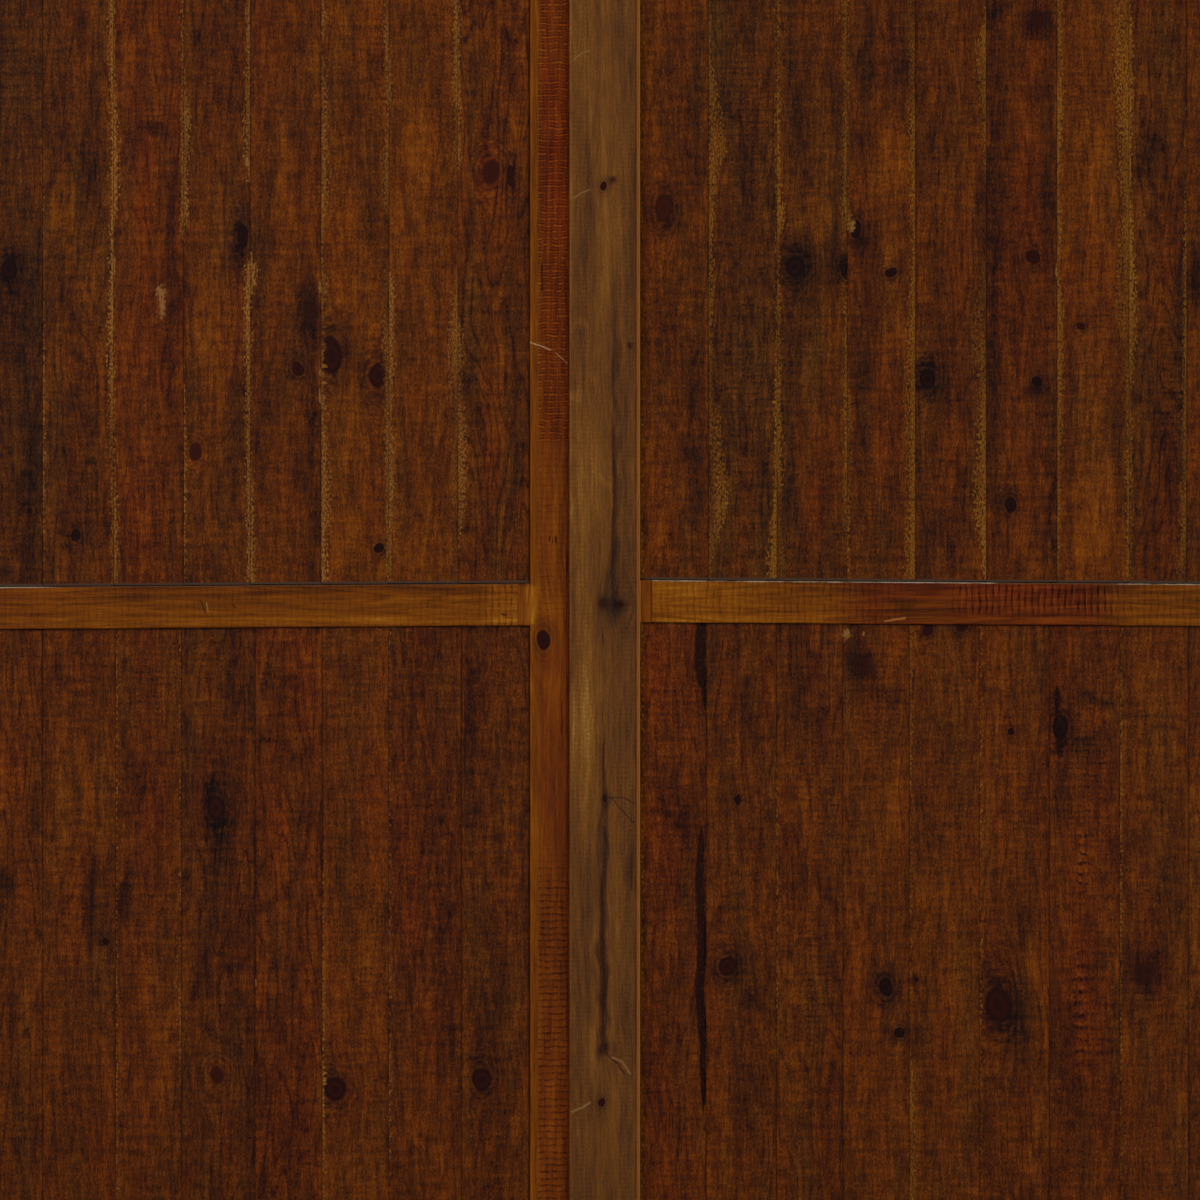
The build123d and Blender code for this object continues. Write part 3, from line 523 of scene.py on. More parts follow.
# Stain patches by kind: column, row, half width, half height, strength
PATCHES = {
    "olive": (
        (18, 95, 14, 45, 0.5), (722, 40, 20, 60, 0.6), (752, 330, 16, 60, 0.5), (815, 370, 18, 50, 0.5),
        (1165, 100, 12, 90, 0.5),
    ),
    "dark": (
        (20, 300, 22, 60, 0.9), (30, 480, 12, 110, 0.5), (92, 165, 14, 55, 0.9),
        (150, 132, 22, 12, 0.9), (170, 260, 8, 150, 0.6), (205, 40, 12, 30, 0.7),
        (238, 238, 11, 34, 1.1), (228, 285, 18, 40, 0.4), (235, 430, 12, 90, 0.6),
        (262, 400, 8, 120, 0.7), (256, 272, 14, 50, 0.7), (288, 22, 22, 36, 0.4),
        (305, 310, 14, 45, 1.2), (312, 430, 8, 140, 0.6), (265, 200, 8, 60, 0.4),
        (350, 110, 25, 50, 0.3), (345, 340, 20, 30, 0.3), (372, 225, 10, 45, 0.6),
        (412, 60, 20, 44, 0.45), (410, 215, 8, 20, 0.7), (412, 260, 8, 14, 0.7),
        (408, 340, 12, 45, 0.6), (410, 500, 10, 40, 0.4), (668, 215, 22, 26, 0.5),
        (745, 180, 10, 40, 0.5), (762, 480, 10, 50, 0.5), (800, 145, 10, 60, 0.7),
        (797, 265, 20, 34, 1), (835, 265, 14, 30, 1), (790, 430, 12, 130, 0.6), (838, 110, 8, 40, 0.5),
        (848, 526, 10, 22, 0.4), (868, 240, 16, 26, 1), (905, 60, 8, 50, 0.4), (885, 550, 20, 30, 0.4),
        (940, 375, 24, 30, 0.7), (960, 500, 14, 60, 0.5), (925, 540, 10, 60, 0.5),
        (1038, 22, 16, 16, 0.9), (998, 10, 14, 14, 0.9), (1070, 430, 8, 120, 0.5),
        (1122, 150, 8, 120, 0.6), (1120, 470, 9, 90, 0.8), (1150, 150, 18, 34, 0.9),
        (1160, 440, 12, 40, 0.5), (1182, 300, 6, 120, 0.6), (1197, 270, 12, 34, 1.3),
        (1230, 150, 20, 70, 0.5), (-45, 120, 22, 70, 0.5), (495, 660, 25, 30, 0.4),
        (470, 720, 8, 110, 0.9), (490, 1000, 20, 90, 0.3), (425, 700, 26, 60, 0.3),
        (445, 950, 12, 120, 0.5), (342, 770, 26, 150, 0.55), (345, 900, 20, 60, 0.3),
        (330, 1060, 14, 40, 0.6), (282, 705, 24, 60, 0.5), (300, 850, 10, 110, 0.4),
        (285, 1130, 25, 60, 0.3), (218, 820, 18, 70, 1.1), (236, 700, 12, 60, 0.4),
        (205, 960, 14, 60, 0.5), (145, 680, 22, 50, 0.4), (135, 775, 22, 36, 0.6),
        (190, 728, 16, 28, 0.5), (128, 880, 8, 40, 0.8), (80, 680, 28, 60, 0.35), (90, 900, 7, 60, 1),
        (70, 1120, 28, 70, 0.5), (8, 880, 12, 16, 1), (25, 1140, 20, 50, 0.5), (675, 810, 22, 44, 0.6),
        (668, 1090, 22, 60, 0.3), (752, 700, 14, 60, 0.5), (745, 1060, 18, 80, 0.4),
        (762, 830, 10, 80, 0.4), (728, 930, 14, 50, 0.5), (800, 710, 12, 60, 0.6),
        (795, 645, 12, 20, 0.4), (800, 880, 20, 24, 0.5), (858, 665, 15, 24, 1),
        (875, 700, 30, 14, 0.7), (885, 765, 18, 20, 0.4), (882, 985, 18, 20, 0.6),
        (945, 750, 24, 60, 0.3), (925, 1040, 10, 60, 0.3), (1012, 1010, 28, 34, 0.7),
        (1015, 930, 22, 40, 0.5), (1012, 705, 14, 20, 0.4), (1062, 780, 8, 60, 0.6),
        (1070, 1080, 14, 80, 0.5), (1150, 985, 14, 28, 0.4), (1021, 735, 10, 12, 0.5),
        (985, 975, 6, 30, 0.6), (1145, 965, 18, 28, 0.3), (1165, 900, 14, 110, 0.5),
        (1120, 775, 18, 30, 0.6), (1228, 1130, 18, 50, 0.5), (-40, 1120, 20, 50, 0.5),
    ),
    "warm": (
        (62, 215, 16, 55, 0.8), (75, 560, 25, 35, 0.4), (85, 20, 20, 60, 0.3), (150, 560, 18, 50, 0.5),
        (212, 280, 16, 50, 0.9), (212, 350, 20, 50, 0.7), (205, 545, 20, 40, 0.3),
        (285, 170, 12, 60, 0.9), (285, 500, 14, 70, 0.3), (350, 25, 22, 40, 0.15),
        (104, 435, 10, 40, 0.5), (76, 282, 18, 20, 0.6), (355, 300, 25, 45, 0.9),
        (350, 420, 24, 40, 0.5), (352, 190, 18, 30, 0.3), (350, 500, 22, 60, 0.3),
        (420, 165, 16, 60, 0.7), (440, 235, 10, 30, 0.6), (430, 400, 12, 40, 0.4),
        (425, 545, 24, 40, 0.9), (495, 370, 9, 60, 0.8), (515, 100, 8, 60, 0.5),
        (466, 500, 18, 50, 0.7), (522, 80, 5, 90, 0.6), (655, 100, 12, 90, 0.5),
        (660, 470, 18, 90, 0.5), (655, 300, 12, 40, 0.6), (822, 225, 14, 40, 1.1),
        (738, 402, 14, 36, 0.7), (893, 180, 14, 70, 0.9), (890, 340, 16, 50, 0.5),
        (940, 50, 18, 60, 0.3), (962, 212, 22, 60, 1.1), (1025, 550, 16, 50, 0.9),
        (1032, 132, 16, 20, 0.7), (1032, 295, 14, 24, 0.5), (1020, 420, 16, 60, 0.4),
        (1095, 160, 12, 90, 0.7), (1095, 520, 18, 60, 1), (1095, 250, 14, 50, 0.3),
        (1195, 60, 10, 60, 0.5), (1236, 510, 18, 50, 0.6), (-38, 480, 18, 60, 0.6),
        (512, 760, 12, 110, 0.3), (520, 1080, 8, 90, 0.5), (462, 1085, 16, 50, 0.7),
        (425, 1120, 24, 60, 0.3), (372, 1000, 12, 90, 0.3), (262, 660, 6, 50, 0.7),
        (195, 700, 8, 50, 0.5), (160, 990, 14, 120, 0.4), (70, 800, 25, 70, 0.3),
        (14, 972, 12, 24, 0.6), (30, 1000, 14, 60, 0.3), (675, 758, 18, 22, 0.9),
        (672, 925, 16, 34, 0.7), (655, 830, 8, 40, 0.5), (712, 840, 6, 90, 0.7),
        (735, 660, 14, 40, 0.3), (820, 1000, 14, 90, 0.25), (800, 760, 14, 50, 0.3),
        (890, 640, 14, 25, 0.6), (885, 810, 22, 30, 0.4), (800, 972, 20, 30, 0.6),
        (860, 980, 12, 50, 0.4), (945, 920, 14, 50, 0.5), (962, 1080, 12, 90, 0.4),
        (1035, 985, 10, 50, 0.7), (1030, 1120, 18, 60, 0.3), (1135, 1020, 7, 60, 0.5),
        (1150, 700, 22, 60, 0.2), (1024, 1180, 16, 24, 0.6), (1195, 900, 10, 150, 0.4),
    ),
    "ochre": (
        (124, 30, 5, 50, 0.6), (160, 300, 5, 16, 0.9), (715, 140, 14, 40, 0.5),
        (718, 510, 16, 60, 0.45), (1141, 998, 4, 5, 0.6),
    ),
    "red": (
        (145, 170, 8, 90, 0.8), (140, 480, 10, 70, 0.5), (378, 30, 8, 50, 0.5), (492, 480, 11, 40, 0.7),
        (485, 160, 5, 50, 1), (822, 480, 14, 90, 0.5), (888, 420, 12, 90, 0.6), (950, 440, 14, 60, 0.4),
        (1025, 200, 18, 90, 0.5), (1172, 500, 8, 50, 0.8), (410, 900, 14, 140, 0.5),
        (300, 680, 14, 50, 0.5), (275, 800, 14, 80, 0.5), (222, 1130, 22, 50, 0.4),
        (150, 800, 24, 60, 0.4), (12, 760, 14, 50, 0.5), (660, 680, 18, 50, 0.7),
        (660, 880, 20, 60, 0.6), (1085, 950, 22, 120, 0.5), (1105, 1000, 10, 70, 0.4),
        (1232, 690, 20, 60, 0.5), (-44, 700, 20, 70, 0.5),
    ),
    "dusk": (
        (508, 60, 6, 40, 0.6), (470, 380, 7, 110, 0.5), (517, 440, 9, 140, 0.6), (512, 330, 8, 60, 0.5),
        (697, 110, 9, 90, 1.1), (697, 430, 9, 150, 1.1), (790, 80, 9, 70, 0.9), (865, 65, 9, 55, 1.3),
        (872, 95, 10, 30, 0.7), (862, 420, 8, 160, 0.9), (993, 100, 7, 220, 1.2),
        (1050, 180, 8, 120, 1.1), (1052, 480, 7, 120, 1.2), (995, 400, 7, 160, 1.1),
        (1024, 1037, 14, 14, 0.6), (1095, 697, 24, 6, 1), (1086, 744, 24, 12, 1.2),
        (1024, 1020, 18, 22, 0.4), (752, 975, 20, 34, 0.8),
    ),
}

# Knots: column, row, half width, half height, kind
KNOTS = (
    (8, 270, 8, 10, "black"), (298, 370, 6, 7, "dark"), (331, 355, 11, 17, "dark"),
    (378, 375, 9, 12, "dark"), (195, 451, 7, 10, "ringed"), (75, 537, 5, 6, "black"),
    (379, 548, 5, 5, "black"), (243, 236, 6, 12, "black"), (491, 172, 10, 14, "ringed"),
    (511, 175, 4, 10, "dark"), (312, 312, 6, 12, "soft"), (664, 207, 8, 13, "red"),
    (795, 266, 9, 10, "black"), (856, 228, 6, 8, "black"), (847, 270, 5, 8, "black"),
    (891, 272, 6, 5, "black"), (928, 379, 8, 10, "black"), (1033, 256, 6, 7, "dark"),
    (1038, 382, 5, 5, "black"), (1033, 392, 8, 5, "soft"), (1011, 504, 6, 7, "black"),
    (1038, 20, 7, 9, "soft"), (1081, 327, 4, 4, "dark"), (216, 808, 8, 12, "dark"),
    (335, 1090, 11, 12, "dark"), (482, 1080, 10, 11, "dark"), (217, 1075, 8, 10, "ringed"),
    (105, 943, 3, 4, "black"), (120, 905, 4, 12, "soft"), (728, 965, 8, 9, "dark"),
    (886, 988, 7, 9, "black"), (899.5, 1034, 5, 5, "black"), (916, 979, 2.5, 2.5, "black"),
    (998.5, 1005, 13, 16, "dark"), (1142, 970, 10, 12, "soft"), (1012, 731, 4, 4, "black"),
    (737, 800, 2.5, 5, "black"), (865, 665, 9, 10, "soft"), (928, 630, 5, 6, "dark"),
    (962, 629, 6, 3, "dark"), (1060.5, 727, 7, 13, "black"), (-42, 310, 7, 9, "dark"),
    (-30, 830, 6, 7, "black"), (-50, 1010, 5, 7, "dark"), (1236, 420, 7, 9, "dark"),
    (1222, 770, 6, 7, "black"), (1240, 1050, 8, 10, "dark"),
)

# Splits along the grain: column, top row, bottom row, half width, depth
CRACKS = (
    (700.8, 588, 688, 5, 0.95), (703.8, 636, 710, 2.6, 1), (701, 826, 1050, 4.4, 0.9),
    (703.2, 900, 1114, 2.6, 0.95), (1058, 686, 724, 2.6, 0.95), (1059.5, 730, 758, 3, 0.95),
    (90, 868, 932, 1.6, 0.4), (914, 668, 700, 1.6, 0.5), (785, 690, 760, 1.2, 0.35),
    (465, 690, 800, 1.4, 0.5), (321, 800, 880, 1.4, 0.45), (170, 310, 420, 0.9, 0.3),
    (508, 30, 90, 1.5, 0.3), (1008, 515, 560, 1.3, 0.35), (612, 330, 420, 1, 0.2),
    (300, 120, 260, 0.8, 0.25), (437, 1000, 1130, 0.8, 0.3), (968, 1050, 1180, 0.8, 0.25),
)

# Chips of stain: column, row, half width, half height
CHIPS = (
    (1057, 271, 1.2, 7), (113.5, 266, 1.3, 10), (320, 287, 1.3, 6), (320, 373, 1, 4),
    (320, 398, 1.2, 7), (255, 983, 1.4, 3), (247, 161, 2, 4), (847, 634, 4, 5), (864, 633, 1.2, 3),
    (1050, 948, 0.8, 3), (852.5, 226, 2.5, 6), (160, 292, 5, 6), (162, 306, 3, 10),
)
# Zones where the saw chattered, by pitch: column, row, half width, half height, amount
SAW_ZONES = {
    6.05: (
        (378, 60, 12, 80, 0.05), (350, 260, 26, 60, 0.03), (425, 40, 24, 50, 0.025),
        (745, 95, 26, 60, 0.06), (745, 400, 22, 70, 0.06), (755, 560, 14, 30, 0.05),
        (1172, 400, 9, 60, 0.07), (1085, 80, 16, 60, 0.05), (1095, 330, 20, 90, 0.03),
        (150, 115, 16, 14, 0.1), (25, 90, 26, 60, 0.05), (205, 70, 18, 60, 0.03),
        (150, 680, 24, 50, 0.06), (150, 960, 22, 90, 0.05), (205, 660, 22, 40, 0.05),
        (355, 680, 24, 60, 0.04), (355, 960, 26, 110, 0.04), (70, 900, 22, 110, 0.04),
        (812, 990, 24, 70, 0.06), (1085, 780, 24, 70, 0.06), (1020, 820, 24, 70, 0.05),
        (820, 800, 22, 90, 0.04), (880, 720, 26, 60, 0.05), (675, 720, 24, 60, 0.04),
        (668, 900, 22, 70, 0.04), (955, 860, 24, 90, 0.04),
    ),
    12.2: ((1081, 1000, 7, 60, 0.16), (1092, 1020, 24, 80, 0.07)),
    9.6: ((1083, 862, 7, 34, 0.24),),
}

# Worn edges. Keys: side, panel, number of the joint counted from the meeting stile, and which of
# its two boards, "near" or "far" from the stile. Values: row and width in pixels down the edge.
WORN = {
    ("left", "upper", 1, "far"): (
        (-30, 7), (60, 5), (110, 5), (150, 6), (215, 4), (240, 1), (258, 2), (290, 6), (310, 9),
        (340, 12), (365, 11), (400, 8), (440, 8), (500, 7), (560, 6), (582, 9),
    ),
    ("left", "upper", 1, "near"): (
        (-30, 2), (120, 3), (165, 3), (200, 0), (300, 0), (330, 5), (400, 5), (430, 10), (500, 9),
        (582, 0),
    ),
    ("left", "upper", 2, "far"): (
        (-30, 3), (10, 4), (35, 7), (70, 4), (130, 2), (150, 7), (205, 8), (218, 2), (260, 0), (270, 5),
        (300, 8), (350, 8), (400, 5), (480, 4), (582, 3),
    ),
    ("left", "upper", 2, "near"): (
        (-30, 0), (100, 4), (150, 0), (262, 0), (285, 7), (330, 7), (360, 7), (420, 3), (450, 6),
        (480, 6), (582, 2),
    ),
    ("left", "upper", 3, "near"): (
        (-30, 2), (15, 6), (50, 2), (75, 6), (120, 7), (200, 8), (225, 3), (250, 2), (290, 7), (312, 3),
        (370, 4), (420, 6), (470, 10), (505, 12), (530, 6), (582, 7),
    ),
    ("left", "upper", 4, "far"): (
        (-30, 3), (20, 6), (60, 5), (100, 6), (130, 9), (145, 6), (165, 6), (180, 2), (200, 0),
        (255, 0), (263, 5), (300, 7), (400, 5), (582, 4),
    ),
    ("left", "upper", 4, "near"): (
        (-30, 0), (240, 0), (266, 9), (284, 8), (298, 1), (440, 1), (500, 4), (582, 6),
    ),
    ("left", "upper", 5, "far"): (
        (-30, 1), (20, 2), (80, 3), (140, 2), (200, 3), (236, 4), (242, 0), (582, 0),
    ),
    ("left", "upper", 5, "near"): (
        (-30, 0), (85, 2), (100, 6), (140, 8), (170, 4), (205, 6), (235, 1), (300, 0), (400, 2),
        (440, 3), (520, 2), (582, 3),
    ),
    ("left", "upper", 6, "far"): (
        (-30, 6), (50, 5), (80, 4), (115, 3), (150, 3), (200, 3), (270, 4), (330, 6), (450, 5),
        (582, 1),
    ),
    ("left", "upper", 6, "near"): (
        (-30, 2), (60, 2), (115, 4), (165, 6), (195, 6), (230, 1), (480, 1), (500, 4), (582, 6),
    ),
    ("left", "upper", 7, "near"): ((-30, 0), (150, 1), (260, 2), (420, 2), (582, 1)),
    ("right", "upper", 1, "far"): (
        (-30, 1), (60, 3), (120, 16), (150, 20), (180, 8), (240, 5), (340, 4), (450, 14), (500, 22),
        (540, 10), (582, 3),
    ),
    ("right", "upper", 2, "far"): (
        (-30, 3), (60, 2), (180, 4), (220, 9), (250, 2), (330, 5), (400, 4), (480, 7), (520, 4),
        (560, 10), (582, 8),
    ),
    ("right", "upper", 2, "near"): ((-30, 1), (300, 1), (480, 3), (540, 9), (582, 12)),
    ("right", "upper", 3, "near"): (
        (-30, 5), (60, 6), (100, 3), (150, 6), (200, 7), (222, 3), (240, 0), (300, 2), (360, 4),
        (420, 3), (582, 2),
    ),
    ("right", "upper", 3, "far"): (
        (-30, 2), (60, 2), (200, 1), (225, 5), (240, 0), (380, 2), (420, 6), (480, 5), (560, 1),
        (582, 2),
    ),
    ("right", "upper", 4, "near"): (
        (-30, 9), (50, 8), (100, 9), (150, 7), (240, 3), (300, 8), (340, 9), (430, 10), (480, 7),
        (530, 10), (582, 12),
    ),
    ("right", "upper", 5, "near"): (
        (-30, 0), (20, 2), (45, 11), (75, 10), (120, 4), (250, 2), (320, 14), (400, 8), (450, 11),
        (520, 13), (550, 6), (582, 3),
    ),
    ("right", "upper", 6, "far"): (
        (-30, 6), (60, 6), (115, 7), (180, 2), (220, 5), (240, 5), (260, 1), (320, 8), (400, 6),
        (470, 5), (530, 3), (582, 2),
    ),
    ("right", "upper", 7, "near"): (
        (-30, 14), (30, 16), (80, 15), (140, 12), (185, 10), (205, 6), (270, 12), (320, 14), (350, 8),
        (400, 3), (582, 3),
    ),
    ("right", "upper", 7, "far"): (
        (-30, 1), (60, 5), (140, 3), (200, 2), (270, 7), (340, 8), (400, 3), (582, 3),
    ),
    ("right", "upper", 8, "near"): (
        (-30, 0), (140, 1), (200, 3), (300, 4), (420, 6), (500, 6), (560, 9), (582, 8),
    ),
    ("right", "upper", 0, "far"): ((-30, 2.2), (300, 1.6), (582, 2.4)),
    ("right", "lower", 0, "far"): ((625, 2.4), (700, 2), (900, 2.4), (1240, 2)),
    ("left", "lower", 5, "far"): (
        (625, 1), (730, 2), (800, 1), (920, 1), (960, 4), (1010, 3), (1100, 1), (1240, 1),
    ),
    ("left", "lower", 6, "near"): ((625, 1), (700, 2), (760, 1), (900, 1), (1100, 2), (1240, 1)),
    ("left", "lower", 3, "near"): ((625, 0), (900, 1), (1060, 2), (1100, 3), (1160, 2), (1240, 1)),
    ("left", "lower", 2, "near"): (
        (625, 1), (700, 1), (850, 1), (1000, 1), (1080, 3), (1100, 1), (1240, 1),
    ),
    ("right", "lower", 4, "far"): (
        (625, 2), (740, 3), (830, 1), (1050, 1), (1090, 7), (1160, 7), (1240, 3),
    ),
    ("right", "lower", 7, "far"): (
        (625, 1), (700, 1.6), (790, 2), (850, 1.2), (870, 2.4), (900, 2), (1000, 1), (1240, 1),
    ),
    ("right", "lower", 5, "far"): (
        (625, 1), (860, 1), (975, 1), (985, 2.4), (1005, 2), (1040, 1), (1055, 1.8), (1240, 1),
    ),
    ("right", "lower", 2, "far"): ((625, 0), (800, 1), (1000, 1), (1240, 0)),
}


# The cover strip: patches, knots, splits and thin marks as (places, half width, colour), nails
STRIP_PATCHES = (
    (606, 30, 24, 60, "dark", 0.25), (580, 120, 12, 60, "dark", 0.3), (600, 130, 16, 40, "warm", 0.3),
    (582, 290, 14, 60, "dark", 0.35), (603, 250, 10, 60, "warm", 0.3), (628, 250, 8, 120, "dark", 0.3),
    (581, 326, 6, 6, "ochre", 0.8), (577, 395, 5, 7, "ochre", 0.7), (594, 374, 5, 5, "ochre", 0.5),
    (603, 485, 5, 4, "ochre", 0.6), (586, 500, 16, 130, "warm", 0.7), (630, 480, 6, 120, "dark", 0.3),
    (614, 360, 5, 90, "dark", 0.9), (616, 500, 5, 90, "dark", 0.8), (613, 575, 7, 50, "dark", 0.9),
    (611, 606, 14, 14, "dark", 0.7), (600, 625, 10, 40, "dark", 0.25),
    (585, 690, 16, 100, "warm", 0.75), (620, 660, 12, 50, "warm", 0.2),
    (592, 800, 20, 60, "warm", 0.15), (585, 880, 16, 50, "dark", 0.6), (580, 990, 14, 80, "dark", 0.7),
    (603, 900, 4, 110, "dark", 1.1), (602, 1000, 5, 60, "dark", 1.1), (604, 820, 3, 60, "dark", 0.9),
    (632, 860, 4, 40, "dark", 0.6), (620, 960, 10, 60, "dark", 0.3), (592, 1100, 16, 40, "dark", 0.4),
    (618, 1110, 16, 60, "warm", 0.1), (590, 1180, 20, 40, "warm", 0.1),
)
STRIP_KNOTS = (
    (604, 187, 3.5, 5, "dark"), (613, 181, 3, 3, "soft"), (603, 603, 4, 5, "soft"),
    (619, 604.5, 4.5, 3, "dark"), (603, 1046, 4, 5, "soft"), (602, 1101, 3.5, 4, "dark"),
    (605, 797, 2.5, 4, "dark"), (630, 345, 2, 2.5, "soft"),
)
STRIP_STREAKS = (
    (604.5, 735, 1050, 2.6, 0.3), (602, 880, 1045, 2.6, 0.4), (613, 330, 600, 1.6, 0.25),
    (614, 430, 600, 2.6, 0.3), (604, 730, 800, 0.8, 0.4), (603, 634, 644, 0.7, 0.6),
    (632, 850, 890, 1.2, 0.3),
)
STRIP_MARKS = (
    (((606, 797), (612, 797), (620, 808), (634, 822)), 0.8, (44, 28, 20)),
    (((612, 797), (624, 797), (634, 803)), 0.8, (50, 32, 20)),
    (((600, 1044), (610, 1056), (618, 1062), (624, 1072)), 1.1, (48, 28, 20)),
    (((612, 1056), (622, 1060), (630, 1072)), 1.2, (118, 82, 46)),
    (((572, 1110), (582, 1106), (590, 1101)), 1.2, (118, 86, 48)),
    (((573, 62), (582, 55), (590, 52)), 0.8, (112, 82, 44)),
    (((573, 200), (582, 194), (590, 191)), 0.8, (112, 82, 44)),
    (((620, 600), (628, 594), (634, 596)), 0.7, (60, 40, 22)),
)
STRIP_NAILS = (
    (606, -70), (608, 30), (604.5, 268), (609, 743), (611, 908), (610, 1070), (602, 1181), (607, 1290),
)


def features_in(node, table):
    """The rows of a feature table that lie on the front of a node, with their kind if they have one."""
    if isinstance(table, dict):
        return [(*row[:4], kind, *row[4:]) for kind in table for row in features_in(node, table[kind])]
    low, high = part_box(node)
    return [
        row
        for row in table
        if low[0] <= place_x(row[0]) < high[0] and low[2] <= place_z(row[1]) < high[2]
    ]


def cracks_in(node):
    """The splits whose middle lies on the front of a node."""
    return [
        crack
        for crack in CRACKS
        if features_in(node, ((crack[0], (crack[1] + crack[2]) / 2),))
    ]


# The slope of the middle rails' edges, and where their upper arrises meet the meeting stiles
RAIL_SLOPE = 0.00703
RAIL_TOPS = {"left": (-0.112, 1.263), "right": (0.112, 1.2685)}

# Heights above that line where the grey-brown band above the rail and the painted shadow below it fade
RAIL_FOOT_BAND = (0.0075, 0.0055)
RAIL_SHADE = (-0.0745, -0.0705)
# Width of the darker stain along a board's edges
DARK_EDGE = 0.0035

# Boards, as the part has them: tongues towards the hinges, grooves towards the meeting stile
BOARDS_PER_PANEL = 9
TONGUE_LENGTH = 0.009
HALF_TONGUE = 0.003
HALF_GROOVE = 0.0032
GROOVE_DEPTH = 0.0085
EDGE_GROWTH = 0.0008
ARRIS = 0.0006
ROW_SPACING = 0.008
COLUMN_SPACING = 0.011
EDGE_COLUMNS = (0.0, 0.0007, 0.0015, 0.0032, 0.0055, 0.0085, 0.0125, 0.0175, 0.024)
# Depths of the relief: unevenness, falling edges, worn edges, splits, and knots with or without a hole
UNEVENNESS = 0.0002
FALLING_EDGE = 0.0004
WORN_DEPTH = 0.0009
SPLIT_DEPTH = 0.005
KNOT_HOLE = 0.0012
KNOT_SWELL = 0.0002
# A worn edge at least this wide is worn to its full depth
FULL_WEAR = 8 * PIXEL
# A mesh's edge is sharp where it bends by more than this
SHARP_ANGLE = math.radians(32)
HEAD_SHARP_ANGLE = math.radians(35)
# Splits at least this wide, in half widths in pixels, are cut into the mesh
WIDE_CRACK = 2.4


def board_edges(side, panel, number):
    """Distances of a board's two edges from the middle of the doorway."""
    low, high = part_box(f"{side}_{panel}_board_{number}")
    near, far = (low[0], high[0]) if side == "right" else (-high[0], -low[0])
    if number > 1:
        near -= EDGE_GROWTH
    if number < BOARDS_PER_PANEL:
        far -= TONGUE_LENGTH - EDGE_GROWTH
    return near, far


def profile_width(profile, z):
    """Width in metres of a worn edge at the heights z."""
    rows = CENTRE_ROW - (z - CENTRE_HEIGHT) / PIXEL
    return np.interp(rows, [row for row, _ in profile], [width for _, width in profile]) * PIXEL


def worn_edges(side, panel, number):
    """The worn edges of a board: its edge's distance from the middle, the way inwards, the profile."""
    near, far = board_edges(side, panel, number)
    found = []
    if (side, panel, number - 1, "far") in WORN:
        found.append((near, 1, WORN[side, panel, number - 1, "far"]))
    if (side, panel, number, "near") in WORN:
        found.append((far, -1, WORN[side, panel, number, "near"]))
    return found


def solid(name, points, faces, sharp_angle=SHARP_ANGLE):
    """A closed smooth mesh, with sharp edges where it bends by more than an angle."""
    mesh = bpy.data.meshes.new(name)
    mesh.from_pydata(points, [], faces)
    bulk = bmesh.new()
    bulk.from_mesh(mesh)
    bmesh.ops.recalc_face_normals(bulk, faces=bulk.faces)
    bulk.to_mesh(mesh)
    bulk.free()
    mesh.polygons.foreach_set("use_smooth", [True] * len(mesh.polygons))
    mesh.set_sharp_from_angle(angle=sharp_angle)
    piece = bpy.data.objects.new(name, mesh)
    bpy.context.scene.collection.objects.link(piece)
    return piece


def loft(name, sections):
    """A closed mesh through a row of outlines that have the same number of points."""
    sections = np.asarray(sections)
    rows, size = sections.shape[:2]
    first = np.arange(rows - 1)[:, None] * size + np.arange(size)[None, :]
    after = np.arange(rows - 1)[:, None] * size + (np.arange(size)[None, :] + 1) % size
    quads = np.stack([first, after, after + size, first + size], axis=-1).reshape(-1, 4)
    caps = [list(range(size))[::-1], list(range((rows - 1) * size, rows * size))]
    return solid(name, sections.reshape(-1, 3).tolist(), quads.tolist() + caps)


def ripple(x, z, seed):
    """Slow unevenness of a sawn and weathered face, about -1 to 1."""
    draw = random.Random(seed)
    total = np.zeros(np.broadcast(x, z).shape)
    for _ in range(6):
        across, along = draw.uniform(-60, 60), draw.uniform(-14, 14)
        total = total + np.sin(across * x + along * z + draw.uniform(0, 2 * math.pi))
    return total / 6


def front_columns(near, far):
    """Columns across a face, close together at both edges."""
    inner = (near + EDGE_COLUMNS[-1], far - EDGE_COLUMNS[-1])
    count = max(2, round((inner[1] - inner[0]) / COLUMN_SPACING))
    middle = np.linspace(*inner, count + 1)[1:-1]
    edges = np.array(EDGE_COLUMNS)
    return np.concatenate([near + edges, middle, (far - edges)[::-1]])


def step_outline(edge, tip, middle, half):
    """Corners of a tongue from front to back, or of a groove from back to front with a half below 0."""
    return [(edge, middle - half), (tip, middle - half), (tip, middle + half), (edge, middle + half)]


